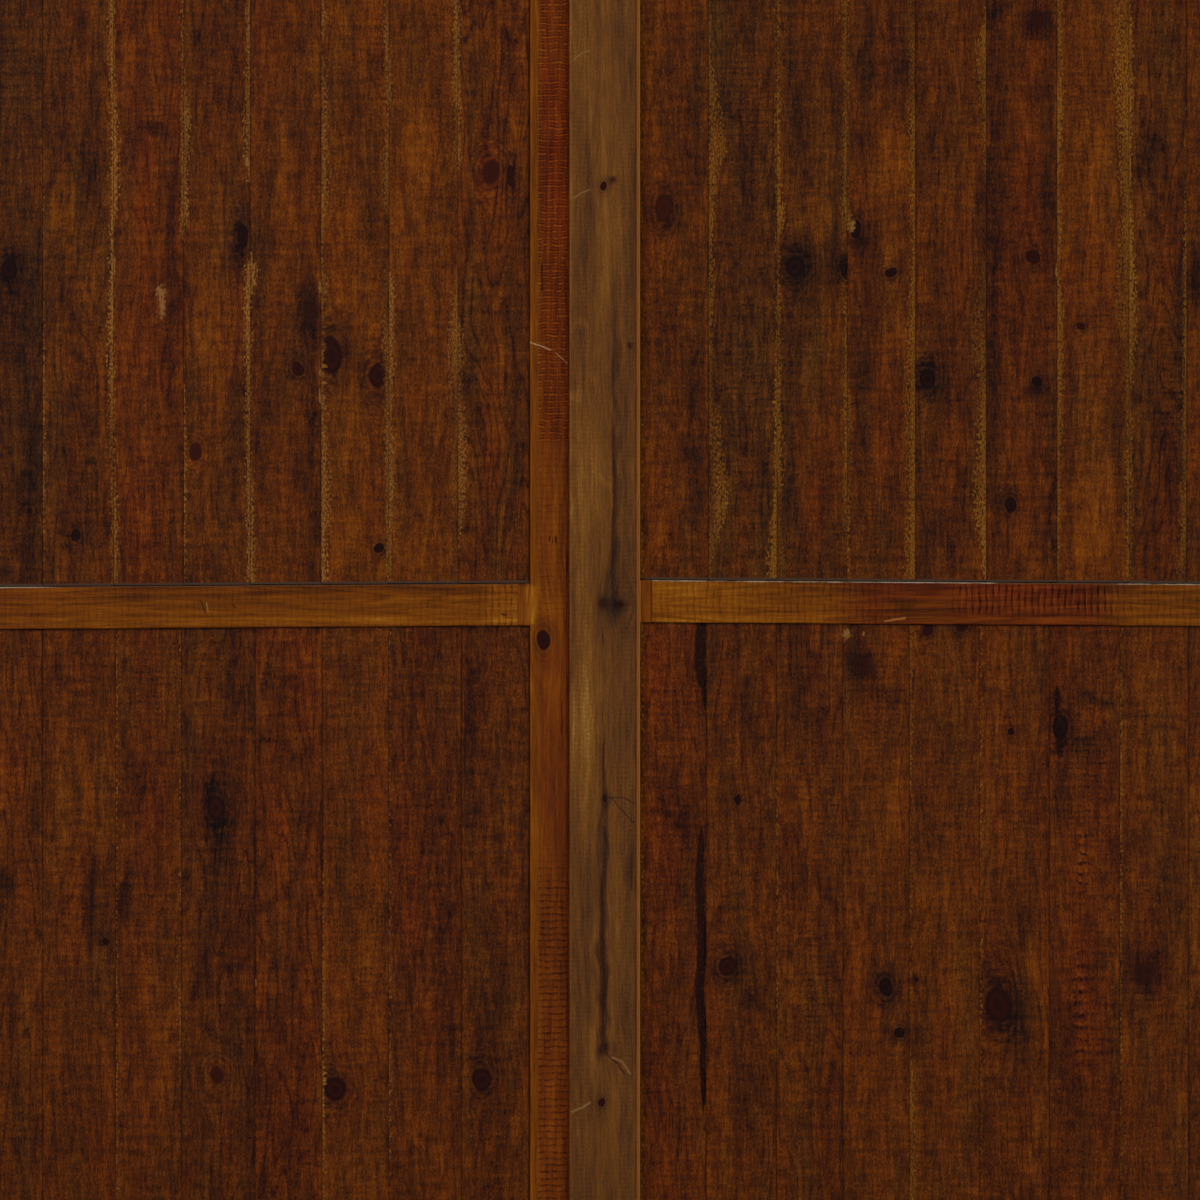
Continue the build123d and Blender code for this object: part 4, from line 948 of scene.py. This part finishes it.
def board(side, panel, number):
    node = f"{side}_{panel}_board_{number}"
    across = 1 if side == "right" else -1
    low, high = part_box(node)
    near, far = board_edges(side, panel, number)
    front, back = low[1], high[1]
    columns = front_columns(near, far)
    heights = np.linspace(low[2], high[2], round((high[2] - low[2]) / ROW_SPACING))
    u, z = np.meshgrid(columns, heights)
    x = across * u
    seed = sum(map(ord, node))
    depth = UNEVENNESS * (1 + ripple(x, z, seed))
    depth = depth + FALLING_EDGE * np.abs(2 * (u - near) / (far - near) - 1) ** 3
    for edge in (near, far):
        depth += ARRIS * np.clip(1 - np.abs(u - edge) / ARRIS, 0, 1)
    for edge, _, profile in worn_edges(side, panel, number):
        width = profile_width(profile, z) * (1 + 0.25 * ripple(x * 3, z * 4, seed + 1))
        slope = np.clip(1 - np.abs(u - edge) / np.maximum(width, 1e-5), 0, 1)
        depth += WORN_DEPTH * np.minimum(1, width / FULL_WEAR) * slope**1.4
    for column, top, bottom, half_width, deep in cracks_in(node):
        if half_width >= WIDE_CRACK:
            lengthwise = np.abs(z - place_z((top + bottom) / 2)) / ((bottom - top) / 2 * PIXEL)
            off = np.abs(x - place_x(column)) / (half_width * PIXEL)
            open_part = np.clip(1.5 - off - 0.9 * lengthwise**6, 0, 1)
            depth = np.maximum(depth, SPLIT_DEPTH * deep * open_part)
    for column, row, half_width, half_height, kind in features_in(node, KNOTS):
        reach = ((x - place_x(column)) / (half_width * PIXEL)) ** 2
        reach = reach + ((z - place_z(row)) / (half_height * PIXEL)) ** 2
        depth += (KNOT_HOLE if kind == "black" else -KNOT_SWELL) * np.exp(-reach)
    middle = (front + back) / 2
    sides = []
    if number < BOARDS_PER_PANEL:
        sides += step_outline(far, far + TONGUE_LENGTH - EDGE_GROWTH, middle, HALF_TONGUE)
    sides += [(far, back), (near, back)]
    if number > 1:
        sides += step_outline(near, near + GROOVE_DEPTH, middle, -HALF_GROOVE)
    rest = np.array([(across * u_place, y, 0) for u_place, y in sides])
    sections = []
    for row in range(len(heights)):
        face = np.stack([x[row], front + depth[row], z[row]], axis=-1)
        sections.append(np.concatenate([face, rest + (0, 0, heights[row])]))
    piece = loft(f"board_{node}", sections)
    piece.data.materials.append(board_material(side, panel, number))
    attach(piece, f"{side}_leaf")
    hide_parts(node)


def board_material(side, panel, number):
    node = f"{side}_{panel}_board_{number}"
    across = 1 if side == "right" else -1
    tone, red, olive, figure = BOARD_LOOKS[side, panel][number - 1]
    near, far = board_edges(side, panel, number)
    tone += 0.028 if panel == "lower" else 0.0
    wood = Wood(f"stain_{node}", sum(map(ord, node)), True, tone, red * 0.7, olive * 0.8)
    knots = features_in(node, KNOTS)
    for column, row, half_width, half_height, kind in knots:
        if kind != "soft":
            wood.part_grain(column, row, half_width, half_height)
    lines = 0.09 + figure * 0.9
    wood.base(blotch=0.19, streak=0.12, fibre=0.1, speck=0.19, wash=0.08, short=2.2, lines=lines)
    wood.soak(features_in(node, PATCHES))
    pitch = 15.9 if side == "left" and number < 3 else 12.1
    wood.saw_lines(wood.shader.step(wood.middle, -1.3, 0.8), pitch, 0.035, 0.0)
    wood.saw_zones(features_in(node, SAW_ZONES))
    for knot in knots:
        wood.knot(*knot)
    for crack in cracks_in(node):
        wood.crack(*crack)
    shader = wood.shader
    off = shader.math("ABSOLUTE", wood.x - across * (near + far) / 2)
    half = (far - near) / 2
    wood.add(shader.step(off, half - DARK_EDGE, half) * wood.broken, tone=-0.07)
    start, height = RAIL_TOPS[side]
    above = wood.z - (wood.x - start) * (across * -RAIL_SLOPE) - height
    if panel == "upper":
        # A grey-brown band along the foot of the upper boards, just above the rail
        wood.paint_over(shader.step(above, *RAIL_FOOT_BAND), colour(62, 46, 36))
    else:
        # Painted shadow under the rail, darkening the tops of the lower boards
        wood.add(shader.step(above, *RAIL_SHADE), tone=-0.14)
    for edge, inward, profile in worn_edges(side, panel, number):
        wood.worn_edge(across * edge, across * inward, profile)
    chips = features_in(node, CHIPS)
    if chips:
        wood.chips(chips)
    return wood.material(relief=0, rubbed=RUBBED if side == "left" else RUBBED_GOLD)


for side in ("left", "right"):
    for panel in ("upper", "lower"):
        for number in range(1, BOARDS_PER_PANEL + 1):
            board(side, panel, number)


def give(node, material):
    """Gives a CAD node one material."""
    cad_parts[node].data.materials.clear()
    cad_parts[node].data.materials.append(material)


def left_meeting_stile():
    wood = Wood("stain_left_meeting_stile", 11, True, 0.5, 0.4)
    wood.part_grain(543, 640, 9, 14)
    wood.base(blotch=0.12, streak=0.13, fibre=0.09, speck=0.06, hue=0.5)
    upper = wood.band(-80, 443, 6, rows=True)
    wood.saw_lines(wood.band(538, 568, 1.5) * upper, 6.5, -0.13, second=1.3)
    ridges = wood.shader.noise(wood.straight, (520, 1.5, 0), wood.shift, 1)
    wood.add(ridges * wood.band(539, 568, 1.0) * upper, tone=0.12)
    wood.saw_lines(wood.band(538, 568, 2.0) * wood.band(447, 620, 10, rows=True), 6.5, 0.05)
    wood.saw_lines(wood.band(538, 568, 2.0) * wood.band(870, 1300, 40, rows=True), 6.6, 0.13)
    wood.tint((
        ((526, 540, 2.5), None, (0.03, -0.4, 0.4)),
        ((541, 568, 2.0), (-80, 443, 6), (-0.03, 0.3)),
        ((541, 566, 3.0), (450, 640, 30), (0.04, 0.0, 0.2)),
        ((541, 568, 2.0), (70, 235, 14), (-0.03, 0.35)),
        ((526, 569, 2.0), None, (0.035,)),
        ((530, 540, 1.5), None, (0.03,)),
        # Painted shadow of the cover strip along the stile's right edge
        ((566.3, 569.5, 0.7), None, (-0.12, 0.4)),
        ((530.6, 532.6, 0.5), None, (0.08,)),
        ((517, 536, 2.5), (586, 624, 1.5), (0.14, -0.2, 0.5)),
        ((534, 566, 3.0), (584, 616, 6), (0.04, 0.0, 0.2)),
    ))
    wood.soak((
        (556, 215, 12, 60, "warm", 0.7), (556, 690, 14, 44, "warm", 0.9), (552, 125, 10, 14, "ochre", 0.6),
        (562, 560, 5, 60, "dark", 0.5), (554, 650, 16, 60, "warm", 0.5),
    ))
    wood.knot(543, 640, 6, 9, "dark")
    for mark in ((549.5, 535, 542, 0.7, 0.8), (552.5, 539, 543, 0.6, 0.8), (555.5, 536, 543, 0.7, 0.8),
                 (567, 553, 575, 0.7, 0.8), (542, 262, 292, 0.9, 0.7), (562, 700, 735, 0.7, 0.6)):
        wood.crack(*mark, sway=0.3)
    wood.scratch(((521, 344), (529, 342), (541, 346), (551, 350)), 0.8, colour(150, 116, 84))
    wood.scratch(((556, 353), (567, 363)), 0.6, colour(140, 96, 64))
    return wood.material(third=GOLD)


def right_meeting_stile():
    wood = Wood("stain_right_meeting_stile", 12, True, 0.72, 0.2, 0.3)
    wood.base(blotch=0.14, streak=0.13, fibre=0.09, speck=0.06, hue=0.5)
    # Painted light: the narrow sliver of the stile beside the cover strip is made pale to stay bright in
    # the strip's shade
    wood.paint_over(wood.band(636.6, 640.8, 0.6) * 0.7, colour(182, 114, 52))
    wood.tint((
        # Painted shade in the gap beside the cover strip
        ((634, 636.6, 0.4), None, (-0.15,)),
        ((638, 652, 0.8), (582, 622, 0.8), (-0.06, 0.1)),
        ((650.6, 653, 0.4), None, (-0.2,)),
    ))
    return wood.material(third=GOLD)


def mid_rail(side):
    wood = Wood(f"stain_{side}_mid_rail", 13 if side == "left" else 14, False, 0.62, 0.12, 0.6)
    s = wood.shader
    wood.base(blotch=0.16, streak=0.14, fibre=0.08, speck=0.06, lines=0.13, hue=0.5)
    if side == "left":
        wood.saw_lines(wood.band(-200, 1400), 6.5, 0.05)
        wood.saw_lines(wood.band(484, 520, 6), 6.5, 0.09)
        wood.tint((
            ((-200, 488, 8), None, (-0.035,)),
            ((488, 535, 8), None, (0.07,)),
            ((-60, 60, 40), None, (-0.05, 0.0, -0.3)),
            ((100, 500, 60), (586, 594, 3), (-0.12, 0.35)),
            # Painted highlight along the rail's lower edge
            (None, (617, 625, 2), (0.07, 0.0, 0.2)),
        ))
        wood.scratch(((201, 601), (205, 613)), 0.8, colour(40, 20, 8))
        wood.scratch(((206.5, 602), (208, 612)), 0.6, colour(134, 92, 40))
        wood.scratch(((233, 604), (235, 608)), 1.2, colour(52, 26, 10))
        wood.scratch(((502, 614), (506, 615)), 1.2, colour(40, 14, 8))
    else:
        wood.saw_lines(wood.band(640, 900, 40), 6.5, 0.08)
        wood.saw_lines(wood.band(958, 1112, 16) * wood.band(584, 614, 7, rows=True), 6.6, 0.2)
        wood.saw_lines(wood.band(1100, 1400, 30), 6.6, 0.07)
        wood.tint((
            ((640, 760, 40), None, (0.05, 0.0, 0.5)),
            ((850, 1110, 34), None, (-0.15, 0.7, -0.55)),
            ((890, 950, 20), (600, 622, 4), (-0.05, 0.0, 0.4)),
            ((970, 1100, 20), (588, 612, 7), (-0.05, 0.25)),
            # Painted highlight along the rail's lower edge
            (None, (617, 624, 2), (0.06, 0.0, 0.2)),
        ))
        wood.soak(((905, 605, 16, 10, "dark", 0.6), (720, 600, 5, 20, "dark", 0.5)))
        wood.scratch(((885, 621), (905, 618)), 1.2, colour(140, 84, 36))
        wood.scratch(((651.5, 580), (651.5, 624)), 0.8, colour(36, 16, 8))
    # Along the rail's top arris: a pale line, partly dust and partly painted highlight, and brown parts
    # that are painted shade of the gap to the boards
    start, height = RAIL_TOPS[side]
    slope = RAIL_SLOPE if side == "left" else -RAIL_SLOPE
    above = wood.z - (wood.x - start) * slope - height
    ragged = s.noise(wood.flat, (24, 60, 0), wood.shift, 3, 0.7)
    arris_highlight_shade_and_dust = s.step(above + ragged * 0.0004, -0.0006, 0.0003)
    pale_dust_and_highlight = colour(150, 130, 108)
    if side == "left":
        shade = s.mix(wood.band(-400, 46, 20), colour(86, 54, 34), pale_dust_and_highlight)
    else:
        faint = wood.band(1000, 1112, 12)
        shade = s.mix(s.step(ragged - faint * 1.6, -0.9, 0.5), colour(86, 60, 40), pale_dust_and_highlight)
    wood.paint_over(arris_highlight_shade_and_dust, shade)
    return wood.material(third=GOLD)


def outer_member(node, upright, tone, red, olive, lean=0.0):
    wood = Wood(f"stain_{node}", sum(map(ord, node)), upright, tone, red, olive, lean)
    wood.base(blotch=0.2, streak=0.14, fibre=0.09, speck=0.06)
    wood.saw_lines(wood.shader.step(wood.broken, 0.6, 1.1), 6.5, 0.08)
    return wood.material(third=GOLD)


def meeting_strip():
    wood = Wood("stain_meeting_strip", 15, True, 0.58, 0.0, 1.0)
    for place in ((604, 187, 4, 6), (610, 604, 10, 7), (604, 1054, 5, 6)):
        wood.part_grain(*place)
    wood.base(blotch=0.22, streak=0.1, fibre=0.09, speck=0.1, hue=0.15)
    wood.saw_lines(wood.band(568, 592, 6) + wood.band(616, 640, 6), 4.5, 0.035)
    wood.tint((((622, 640, 6), None, (-0.07,)),))
    wood.soak(STRIP_PATCHES)
    for knot in STRIP_KNOTS:
        wood.knot(*knot)
    for mark in STRIP_STREAKS:
        wood.crack(*mark, sway=1.6)
    for points, half_width, shade in STRIP_MARKS:
        wood.scratch(points, half_width, colour(*shade))
    # Painted highlight along the strip's rounded left edge and painted shade along its right edge
    wood.tint((((569, 571.4, 0.5), None, (0.1,)), ((634.6, 637, 0.6), None, (-0.06,))))
    return wood.material(third=GREYED, roughness=0.7)


give("left_meeting_stile", left_meeting_stile())
give("right_meeting_stile", right_meeting_stile())
for side in ("left", "right"):
    give(f"{side}_mid_rail", mid_rail(side))
    give(f"{side}_hinge_stile", outer_member(f"{side}_hinge_stile", True, 0.52, 0.35, 0.2))
    give(f"{side}_top_rail", outer_member(f"{side}_top_rail", False, 0.56, 0.25, 0.4))
    give(f"{side}_bottom_rail", outer_member(f"{side}_bottom_rail", False, 0.5, 0.3, 0.3))
    give(f"{side}_jamb", outer_member(f"{side}_jamb", True, 0.5, 0.3, 0.3))
    lean = math.radians(45 if side == "left" else -45)
    give(f"{side}_braces", outer_member(f"{side}_braces", True, 0.5, 0.3, 0.2, lean))
give("head", outer_member("head", False, 0.5, 0.3, 0.3))
give("meeting_strip", meeting_strip())


def iron(name, seed, base, light, roughness, metallic):
    """Hammered or rolled iron between two colours."""
    shader = Shader(name)
    shift = (seed, seed * 2, seed * 3)
    hammered = shader.noise(shader.position, (90, 90, 90), shift, 2, dimensions="3D")
    grit = shader.noise(shader.position, (900, 900, 900), shift, 2, dimensions="3D")
    shade = shader.mix(shader.step(hammered + grit * 0.5, -0.8, 1.2), base, light)
    shader.bump(hammered + grit * 0.15, 0.0006)
    return shader.finish(shade, grit * 0.08 + roughness, 0.5, metallic)


black_iron = iron("black_iron", 3, colour(22, 20, 19), colour(44, 40, 37), 0.52, 0.6)
plate_iron = iron("plate_iron", 4, colour(24, 23, 22), colour(40, 38, 36), 0.45, 0.4)
bar_steel = iron("bar_steel", 5, colour(96, 92, 86), colour(136, 130, 122), 0.38, 1.0)
for metal, nodes in (
    (black_iron, ("left_hinge_straps", "right_hinge_straps", "hinge_hooks")),
    (plate_iron, ("left_bolt_plates", "right_bolt_plate")),
    (bar_steel, ("left_top_bolt", "left_bottom_bolt", "right_bolt")),
):
    for node in nodes:
        give(node, metal)


# Small fixings: screws of the bolt plates, nails of the cover strip and of the braces
def heads(name, places, facing, seed, material, body, radius, rise, slot_width=0.0):
    """Low domed heads on a face that looks along y, each with its own turn of the slot."""
    draw = random.Random(seed)
    rings, around = 6, 28
    points, faces = [], []
    for x, y, z in places:
        turn = draw.uniform(0, math.pi)
        first = len(points)
        points.append((x, y + facing * rise * (0.4 if slot_width else 1.0), z))
        for ring in range(1, rings + 2):
            reach = min(ring / rings, 1.0)
            level = rise * (1 - reach**2.6) if ring <= rings else -rise
            for step in range(around):
                angle = 2 * math.pi * step / around
                across = radius * reach * math.cos(angle)
                along = radius * reach * math.sin(angle)
                off = abs(across * math.sin(turn) - along * math.cos(turn))
                sunk = 0.6 * rise if off < slot_width / 2 and ring < rings else 0.0
                points.append((x + across, y + facing * (level - sunk), z + along))
        for step in range(around):
            after = (step + 1) % around
            faces.append((first, first + 1 + step, first + 1 + after))
            for ring in range(rings):
                low = first + 1 + ring * around
                faces.append((low + step, low + step + around, low + after + around, low + after))
        faces.append([first + 1 + rings * around + step for step in range(around)])
    piece = solid(name, points, faces, HEAD_SHARP_ANGLE)
    piece.data.materials.append(material)
    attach(piece, body)


PLATE_THICKNESS = 0.003
SCREW_OFFSET = 0.016
SCREW_PLACES = (0.070, 0.182)
SCREW = {"radius": 0.0042, "rise": 0.0018, "slot_width": 0.0011}
STRIP_NAIL = {"radius": 0.0021, "rise": 0.0004}
BRACE_NAIL = {"radius": 0.0042, "rise": 0.001}
NAIL_SCATTER = 0.012


def fixings():
    """Screws beside each bar, at set distances from its tip, and nails of the strip and the braces."""
    dull_steel = iron("dull_steel", 6, colour(58, 55, 51), colour(92, 87, 80), 0.45, 0.9)
    nail_iron = iron("nail_iron", 7, colour(44, 29, 19), colour(82, 55, 33), 0.8, 0.0)
    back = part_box("left_meeting_stile")[1][1]
    face = back + PLATE_THICKNESS
    middle = sum(corner[0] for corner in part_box("left_top_bolt")) / 2
    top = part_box("left_top_bolt")[1][2]
    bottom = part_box("left_bottom_bolt")[0][2]
    places = []
    for place in SCREW_PLACES:
        for across in (-SCREW_OFFSET, SCREW_OFFSET):
            places.append((middle + across, face, top - place))
            places.append((middle + across, face, bottom + place))
    heads("left_plate_screws", places, 1, 1, dull_steel, "left_leaf", **SCREW)
    low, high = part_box("right_bolt")
    line = (low[2] + high[2]) / 2
    places = [
        (low[0] + place, face, line + across)
        for place in SCREW_PLACES
        for across in (-SCREW_OFFSET, SCREW_OFFSET)
    ]
    heads("right_plate_screws", places, 1, 2, dull_steel, "right_leaf", **SCREW)
    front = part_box("meeting_strip")[0][1]
    places = [(place_x(column), front, place_z(row)) for column, row in STRIP_NAILS]
    heads("strip_nails", places, -1, 3, nail_iron, "right_leaf", **STRIP_NAIL)
    for side in ("left", "right"):
        heads(f"{side}_brace_nails", brace_nails(side), 1, 4, nail_iron, f"{side}_leaf", **BRACE_NAIL)


def brace_nails(side):
    """One nail through each brace into each board that it crosses."""
    draw = random.Random(side)
    low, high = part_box(f"{side}_braces")
    rail_low, rail_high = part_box(f"{side}_mid_rail")
    outer, inner = (low[0], high[0]) if side == "left" else (high[0], low[0])
    places = []
    for panel, foot, top in (("lower", low[2], rail_low[2]), ("upper", rail_high[2], high[2])):
        for number in range(1, BOARDS_PER_PANEL + 1):
            board_low, board_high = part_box(f"{side}_{panel}_board_{number}")
            middle = (max(board_low[0], low[0]) + min(board_high[0], high[0])) / 2
            x = middle + draw.uniform(-NAIL_SCATTER, NAIL_SCATTER)
            line = foot + (top - foot) * (x - outer) / (inner - outer)
            z = line + draw.uniform(-NAIL_SCATTER, NAIL_SCATTER)
            places.append((x, high[1], z))
    return places


fixings()


# Floor, lamps, world and camera
def brighten(material, strength):
    """Adds a glow that only the camera sees, so that the floor is pale all round the object."""
    tree = material.node_tree
    path = tree.nodes.new("ShaderNodeLightPath")
    glow = tree.nodes.new("ShaderNodeMath")
    glow.operation = "MULTIPLY"
    glow.inputs[1].default_value = strength
    surface = next(node for node in tree.nodes if node.type == "BSDF_PRINCIPLED")
    surface.inputs["Emission Color"].default_value = (1, 1, 1, 1)
    tree.links.new(path.outputs["Is Camera Ray"], glow.inputs[0])
    tree.links.new(glow.outputs[0], surface.inputs["Emission Strength"])


FLOOR_HALF_WIDTH = 14.0
FLOOR_GLOW = 0.18
LAMP_SIZE = 3.0
LAMP_TARGET = (0, 0, 1.2)
# Lamps: name, place, power
LAMPS = (
    ("key", (-3.4, -5.2, 3.6), 255),
    ("fill", (3.8, -5.0, 2.0), 120),
    ("back", (2.5, 5.5, 3.8), 220),
)
WORLD_LIGHT = 0.22
CAMERA_PLACE = (0.025, -6.0, CENTRE_HEIGHT)
CAMERA_LENS = 108


def floor():
    shader = Shader("pale_floor")
    mottle = shader.noise(shader.position, (1.5, 1.5, 0), (0, 0, 0), 3)
    shade = shader.mix(mottle * 0.5 + 0.5, colour(222, 221, 218), colour(230, 229, 226))
    mesh = bpy.data.meshes.new("floor")
    half = FLOOR_HALF_WIDTH
    corners = [(-half, -half, 0), (half, -half, 0), (half, half, 0), (-half, half, 0)]
    mesh.from_pydata(corners, [], [(0, 1, 2, 3)])
    material = shader.finish(shade, 0.8, 0.2)
    brighten(material, FLOOR_GLOW)
    mesh.materials.append(material)
    piece = bpy.data.objects.new("floor", mesh)
    bpy.context.scene.collection.objects.link(piece)


def lamp(name, place, watts):
    light = bpy.data.lights.new(name, "AREA")
    light.shape = "SQUARE"
    light.size = LAMP_SIZE
    light.energy = watts
    piece = bpy.data.objects.new(name, light)
    piece.location = place
    piece.rotation_euler = (Vector(LAMP_TARGET) - Vector(place)).to_track_quat("-Z", "Y").to_euler()
    bpy.context.scene.collection.objects.link(piece)


def studio():
    """Three lamps, and a world that is white where it is seen and dim as a light."""
    for name, place, watts in LAMPS:
        lamp(name, place, watts)
    world = bpy.data.worlds.new("studio")
    bpy.context.scene.world = world
    world.use_nodes = True
    tree = world.node_tree
    tree.nodes.clear()
    seen = tree.nodes.new("ShaderNodeBackground")
    seen.inputs["Color"].default_value = (1, 1, 1, 1)
    light = tree.nodes.new("ShaderNodeBackground")
    light.inputs["Color"].default_value = (1, 1, 1, 1)
    light.inputs["Strength"].default_value = WORLD_LIGHT
    path = tree.nodes.new("ShaderNodeLightPath")
    seen_or_glossy = tree.nodes.new("ShaderNodeMath")
    seen_or_glossy.operation = "MAXIMUM"
    any_seen = tree.nodes.new("ShaderNodeMath")
    any_seen.operation = "MAXIMUM"
    tree.links.new(path.outputs["Is Camera Ray"], seen_or_glossy.inputs[0])
    tree.links.new(path.outputs["Is Glossy Ray"], seen_or_glossy.inputs[1])
    tree.links.new(seen_or_glossy.outputs[0], any_seen.inputs[0])
    tree.links.new(path.outputs["Is Transmission Ray"], any_seen.inputs[1])
    choose = tree.nodes.new("ShaderNodeMixShader")
    tree.links.new(any_seen.outputs[0], choose.inputs[0])
    tree.links.new(light.outputs[0], choose.inputs[1])
    tree.links.new(seen.outputs[0], choose.inputs[2])
    output = tree.nodes.new("ShaderNodeOutputWorld")
    tree.links.new(choose.outputs[0], output.inputs[0])


def camera():
    data = bpy.data.cameras.new("camera")
    data.sensor_width = 36
    data.lens = CAMERA_LENS
    piece = bpy.data.objects.new("camera", data)
    piece.location = CAMERA_PLACE
    piece.rotation_euler = (math.pi / 2, 0, 0)
    bpy.context.scene.collection.objects.link(piece)
    bpy.context.scene.camera = piece


floor()
studio()
camera()
bpy.context.scene.view_settings.view_transform = "Standard"
